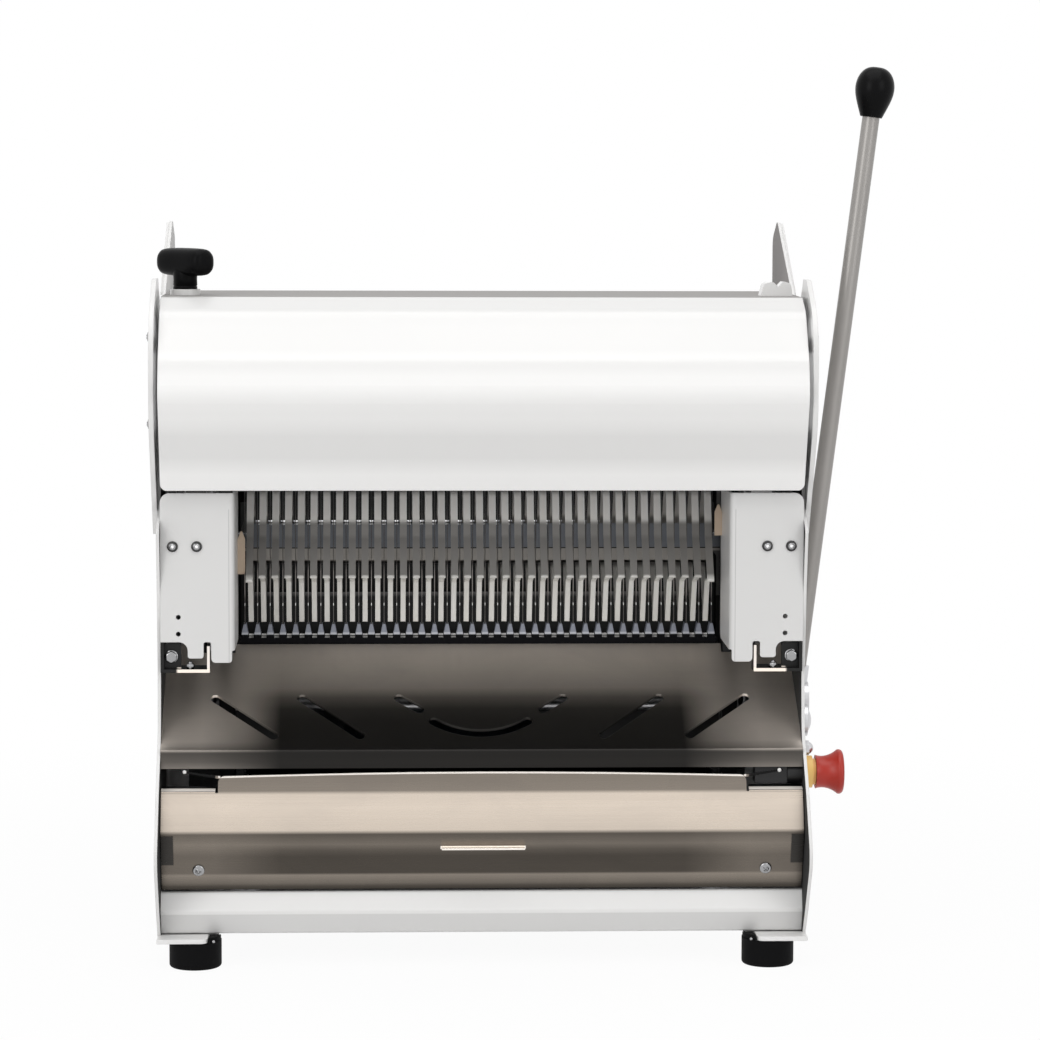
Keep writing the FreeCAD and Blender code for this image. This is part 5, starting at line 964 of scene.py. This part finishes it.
class SLICER_OT_controls(bpy.types.Operator):
    """Lever, knobs, stop button and feet"""
    bl_idname = "slicer.controls"
    bl_label = "Controls"

    def execute(self, context):
        look = finishes()
        wear(turned_steel("lever_silver", look.lever, 0.34, (1.0, 1.0, 0.1), 0.45), "lever_rod")
        wear(moulded("ball_plastic", shade(look.black, 0.3), 0.30, 240.0, 0.01 * MM, gloss=0.08),
             "lever_knob")
        wear(moulded("foot_rubber", shade(look.black, 0.45), 0.62, 320.0, 0.05 * MM, gloss=0.06), "feet")
        wear(moulded("stop_red", look.red, 0.36, 240.0, 0.01 * MM), "stop_button")
        # Painted shade: the yellow ring is near black where it lies behind the frame.
        shade_behind_frame = (shade(look.black, 0.5), ANY_WAY, ("X", 200.0, 296.5, SHARP))
        wear(moulded("stop_yellow", look.yellow, 0.40, 240.0, 0.01 * MM, patches=(shade_behind_frame,)),
             "stop_base")
        wear(moulded("contact_plastic", look.black, 0.5, 240.0, 0.02 * MM), "stop_contact")
        return {"FINISHED"}


def soft_box(name, place, aim, width, height, power):
    """A rectangular lamp at a place, turned to what it lights. Lengths are in metres."""
    data = bpy.data.lights.new(name, "AREA")
    data.shape = "RECTANGLE"
    data.size = width
    data.size_y = height
    data.energy = power
    lamp = placed(name, data)
    lamp.location = place
    lamp.rotation_mode = "QUATERNION"
    lamp.rotation_quaternion = (Vector(aim) - Vector(place)).to_track_quat("-Z", "Y")


def stage_paths(finish):
    """One where a camera, glossy or transmission ray sees the backdrop, else zero."""
    seen = [finish.node("ShaderNodeLightPath", output=kind)
            for kind in ("Is Camera Ray", "Is Glossy Ray", "Is Transmission Ray")]
    return seen[0].math("MAXIMUM", seen[0], seen[1].math("MAXIMUM", seen[1], seen[2]))


class SLICER_OT_stage(bpy.types.Operator):
    """Pale floor, white surroundings, soft boxes and the camera"""
    bl_idname = "slicer.stage"
    bl_label = "Stage"

    def execute(self, context):
        scene = context.scene
        look = scene.slicer_stage
        floor_radius = 14.0

        camera_data = bpy.data.cameras.new("view_camera")
        camera_data.sensor_width = 36.0
        camera_data.lens = look.lens
        camera_data.shift_y = look.upwards
        camera_data.clip_start = 0.1
        camera_data.clip_end = 60.0
        camera = placed("view_camera", camera_data)
        camera.location = look.camera_place
        camera.rotation_euler = look.camera_turn
        scene.camera = camera
        scene.view_settings.view_transform = "Standard"

        soft_box("top_box", (0.0, -0.6, 2.6), (0.0, 0.0, 0.3), 2.6, 2.2, look.top_power)
        for name, x, watts in (("left_box", -2.3, look.left_power), ("right_box", 2.3, look.right_power)):
            soft_box(name, (x, -2.9, 1.5), (0.0, 0.0, 0.35), 1.6, 2.2, watts)

        world = bpy.data.worlds.new("studio")
        scene.world = world
        world.use_nodes = True
        room = Brush(world.node_tree)
        back = world.node_tree.nodes["Background"]
        back.inputs["Color"].default_value = (*grey(1.0), 1.0)
        seen = stage_paths(room)
        room.feed(back.inputs["Strength"], seen * (1.0 - look.ambient) + look.ambient)

        floor_mesh = bpy.data.meshes.new("floor")
        build = bmesh.new()
        bmesh.ops.create_circle(build, cap_ends=True, segments=64, radius=floor_radius)
        build.to_mesh(floor_mesh)
        build.free()
        floor = placed("floor", floor_mesh)
        ground = Finish("pale_floor", roughness=0.9)
        grain = ground.noise(3.0, 3.0)
        tone = ground.mix(grain, grey(0.88), grey(0.90))
        surface = ground.ends_in(base_color=tone)
        away = ground.node("ShaderNodeVectorMath", {"operation": "LENGTH"}, {0: ground.place()},
                           output="Value")
        spread = ground.ramp(away * 0.25, (0.08, 0.95), (0.30, 1.0))
        glow = ground.node("ShaderNodeEmission", {}, {"Color": grey(1.0), "Strength": 1.0})
        lit = Wire(ground, ground.shader.outputs[0])
        mixed = ground.node("ShaderNodeMixShader", {}, {0: stage_paths(ground) * spread, 1: lit, 2: glow})
        ground.feed(ground.tree.nodes["Material Output"].inputs["Surface"], mixed)
        floor_mesh.materials.append(surface)
        return {"FINISHED"}


PIECE_OPERATORS = (
    SLICER_OT_painted_sheets, SLICER_OT_stainless_sheets, SLICER_OT_cutting_parts, SLICER_OT_drive_parts,
    SLICER_OT_plated_parts, SLICER_OT_screws, SLICER_OT_clamp_grip, SLICER_OT_controls,
    SLICER_OT_foot_flanges, SLICER_OT_stage,
)


class SLICER_PT_panel(bpy.types.Panel):
    """The slicer's sizes, colours and pieces"""
    bl_idname = "SLICER_PT_panel"
    bl_label = "Bread slicer"
    bl_space_type = "VIEW_3D"
    bl_region_type = "UI"
    bl_category = "Slicer"

    def draw(self, context):
        for group in (context.scene.slicer_finishes, context.scene.slicer_screws, context.scene.slicer_stage):
            box = self.layout.box()
            for name in group.__annotations__:
                box.prop(group, name)
        for operator in PIECE_OPERATORS:
            self.layout.operator(operator.bl_idname)


CLASSES = (SlicerFinishes, SlicerScrews, SlicerStage, *PIECE_OPERATORS, SLICER_PT_panel)


def register():
    for made in CLASSES:
        bpy.utils.register_class(made)
    bpy.types.Scene.slicer_finishes = bpy.props.PointerProperty(type=SlicerFinishes)
    bpy.types.Scene.slicer_screws = bpy.props.PointerProperty(type=SlicerScrews)
    bpy.types.Scene.slicer_stage = bpy.props.PointerProperty(type=SlicerStage)


def unregister():
    for name in ("slicer_finishes", "slicer_screws", "slicer_stage"):
        delattr(bpy.types.Scene, name)
    for made in reversed(CLASSES):
        bpy.utils.unregister_class(made)


def main():
    register()
    for operator in PIECE_OPERATORS:
        group, name = operator.bl_idname.split(".")
        getattr(getattr(bpy.ops, group), name)()


if __name__ == "__main__":
    main()
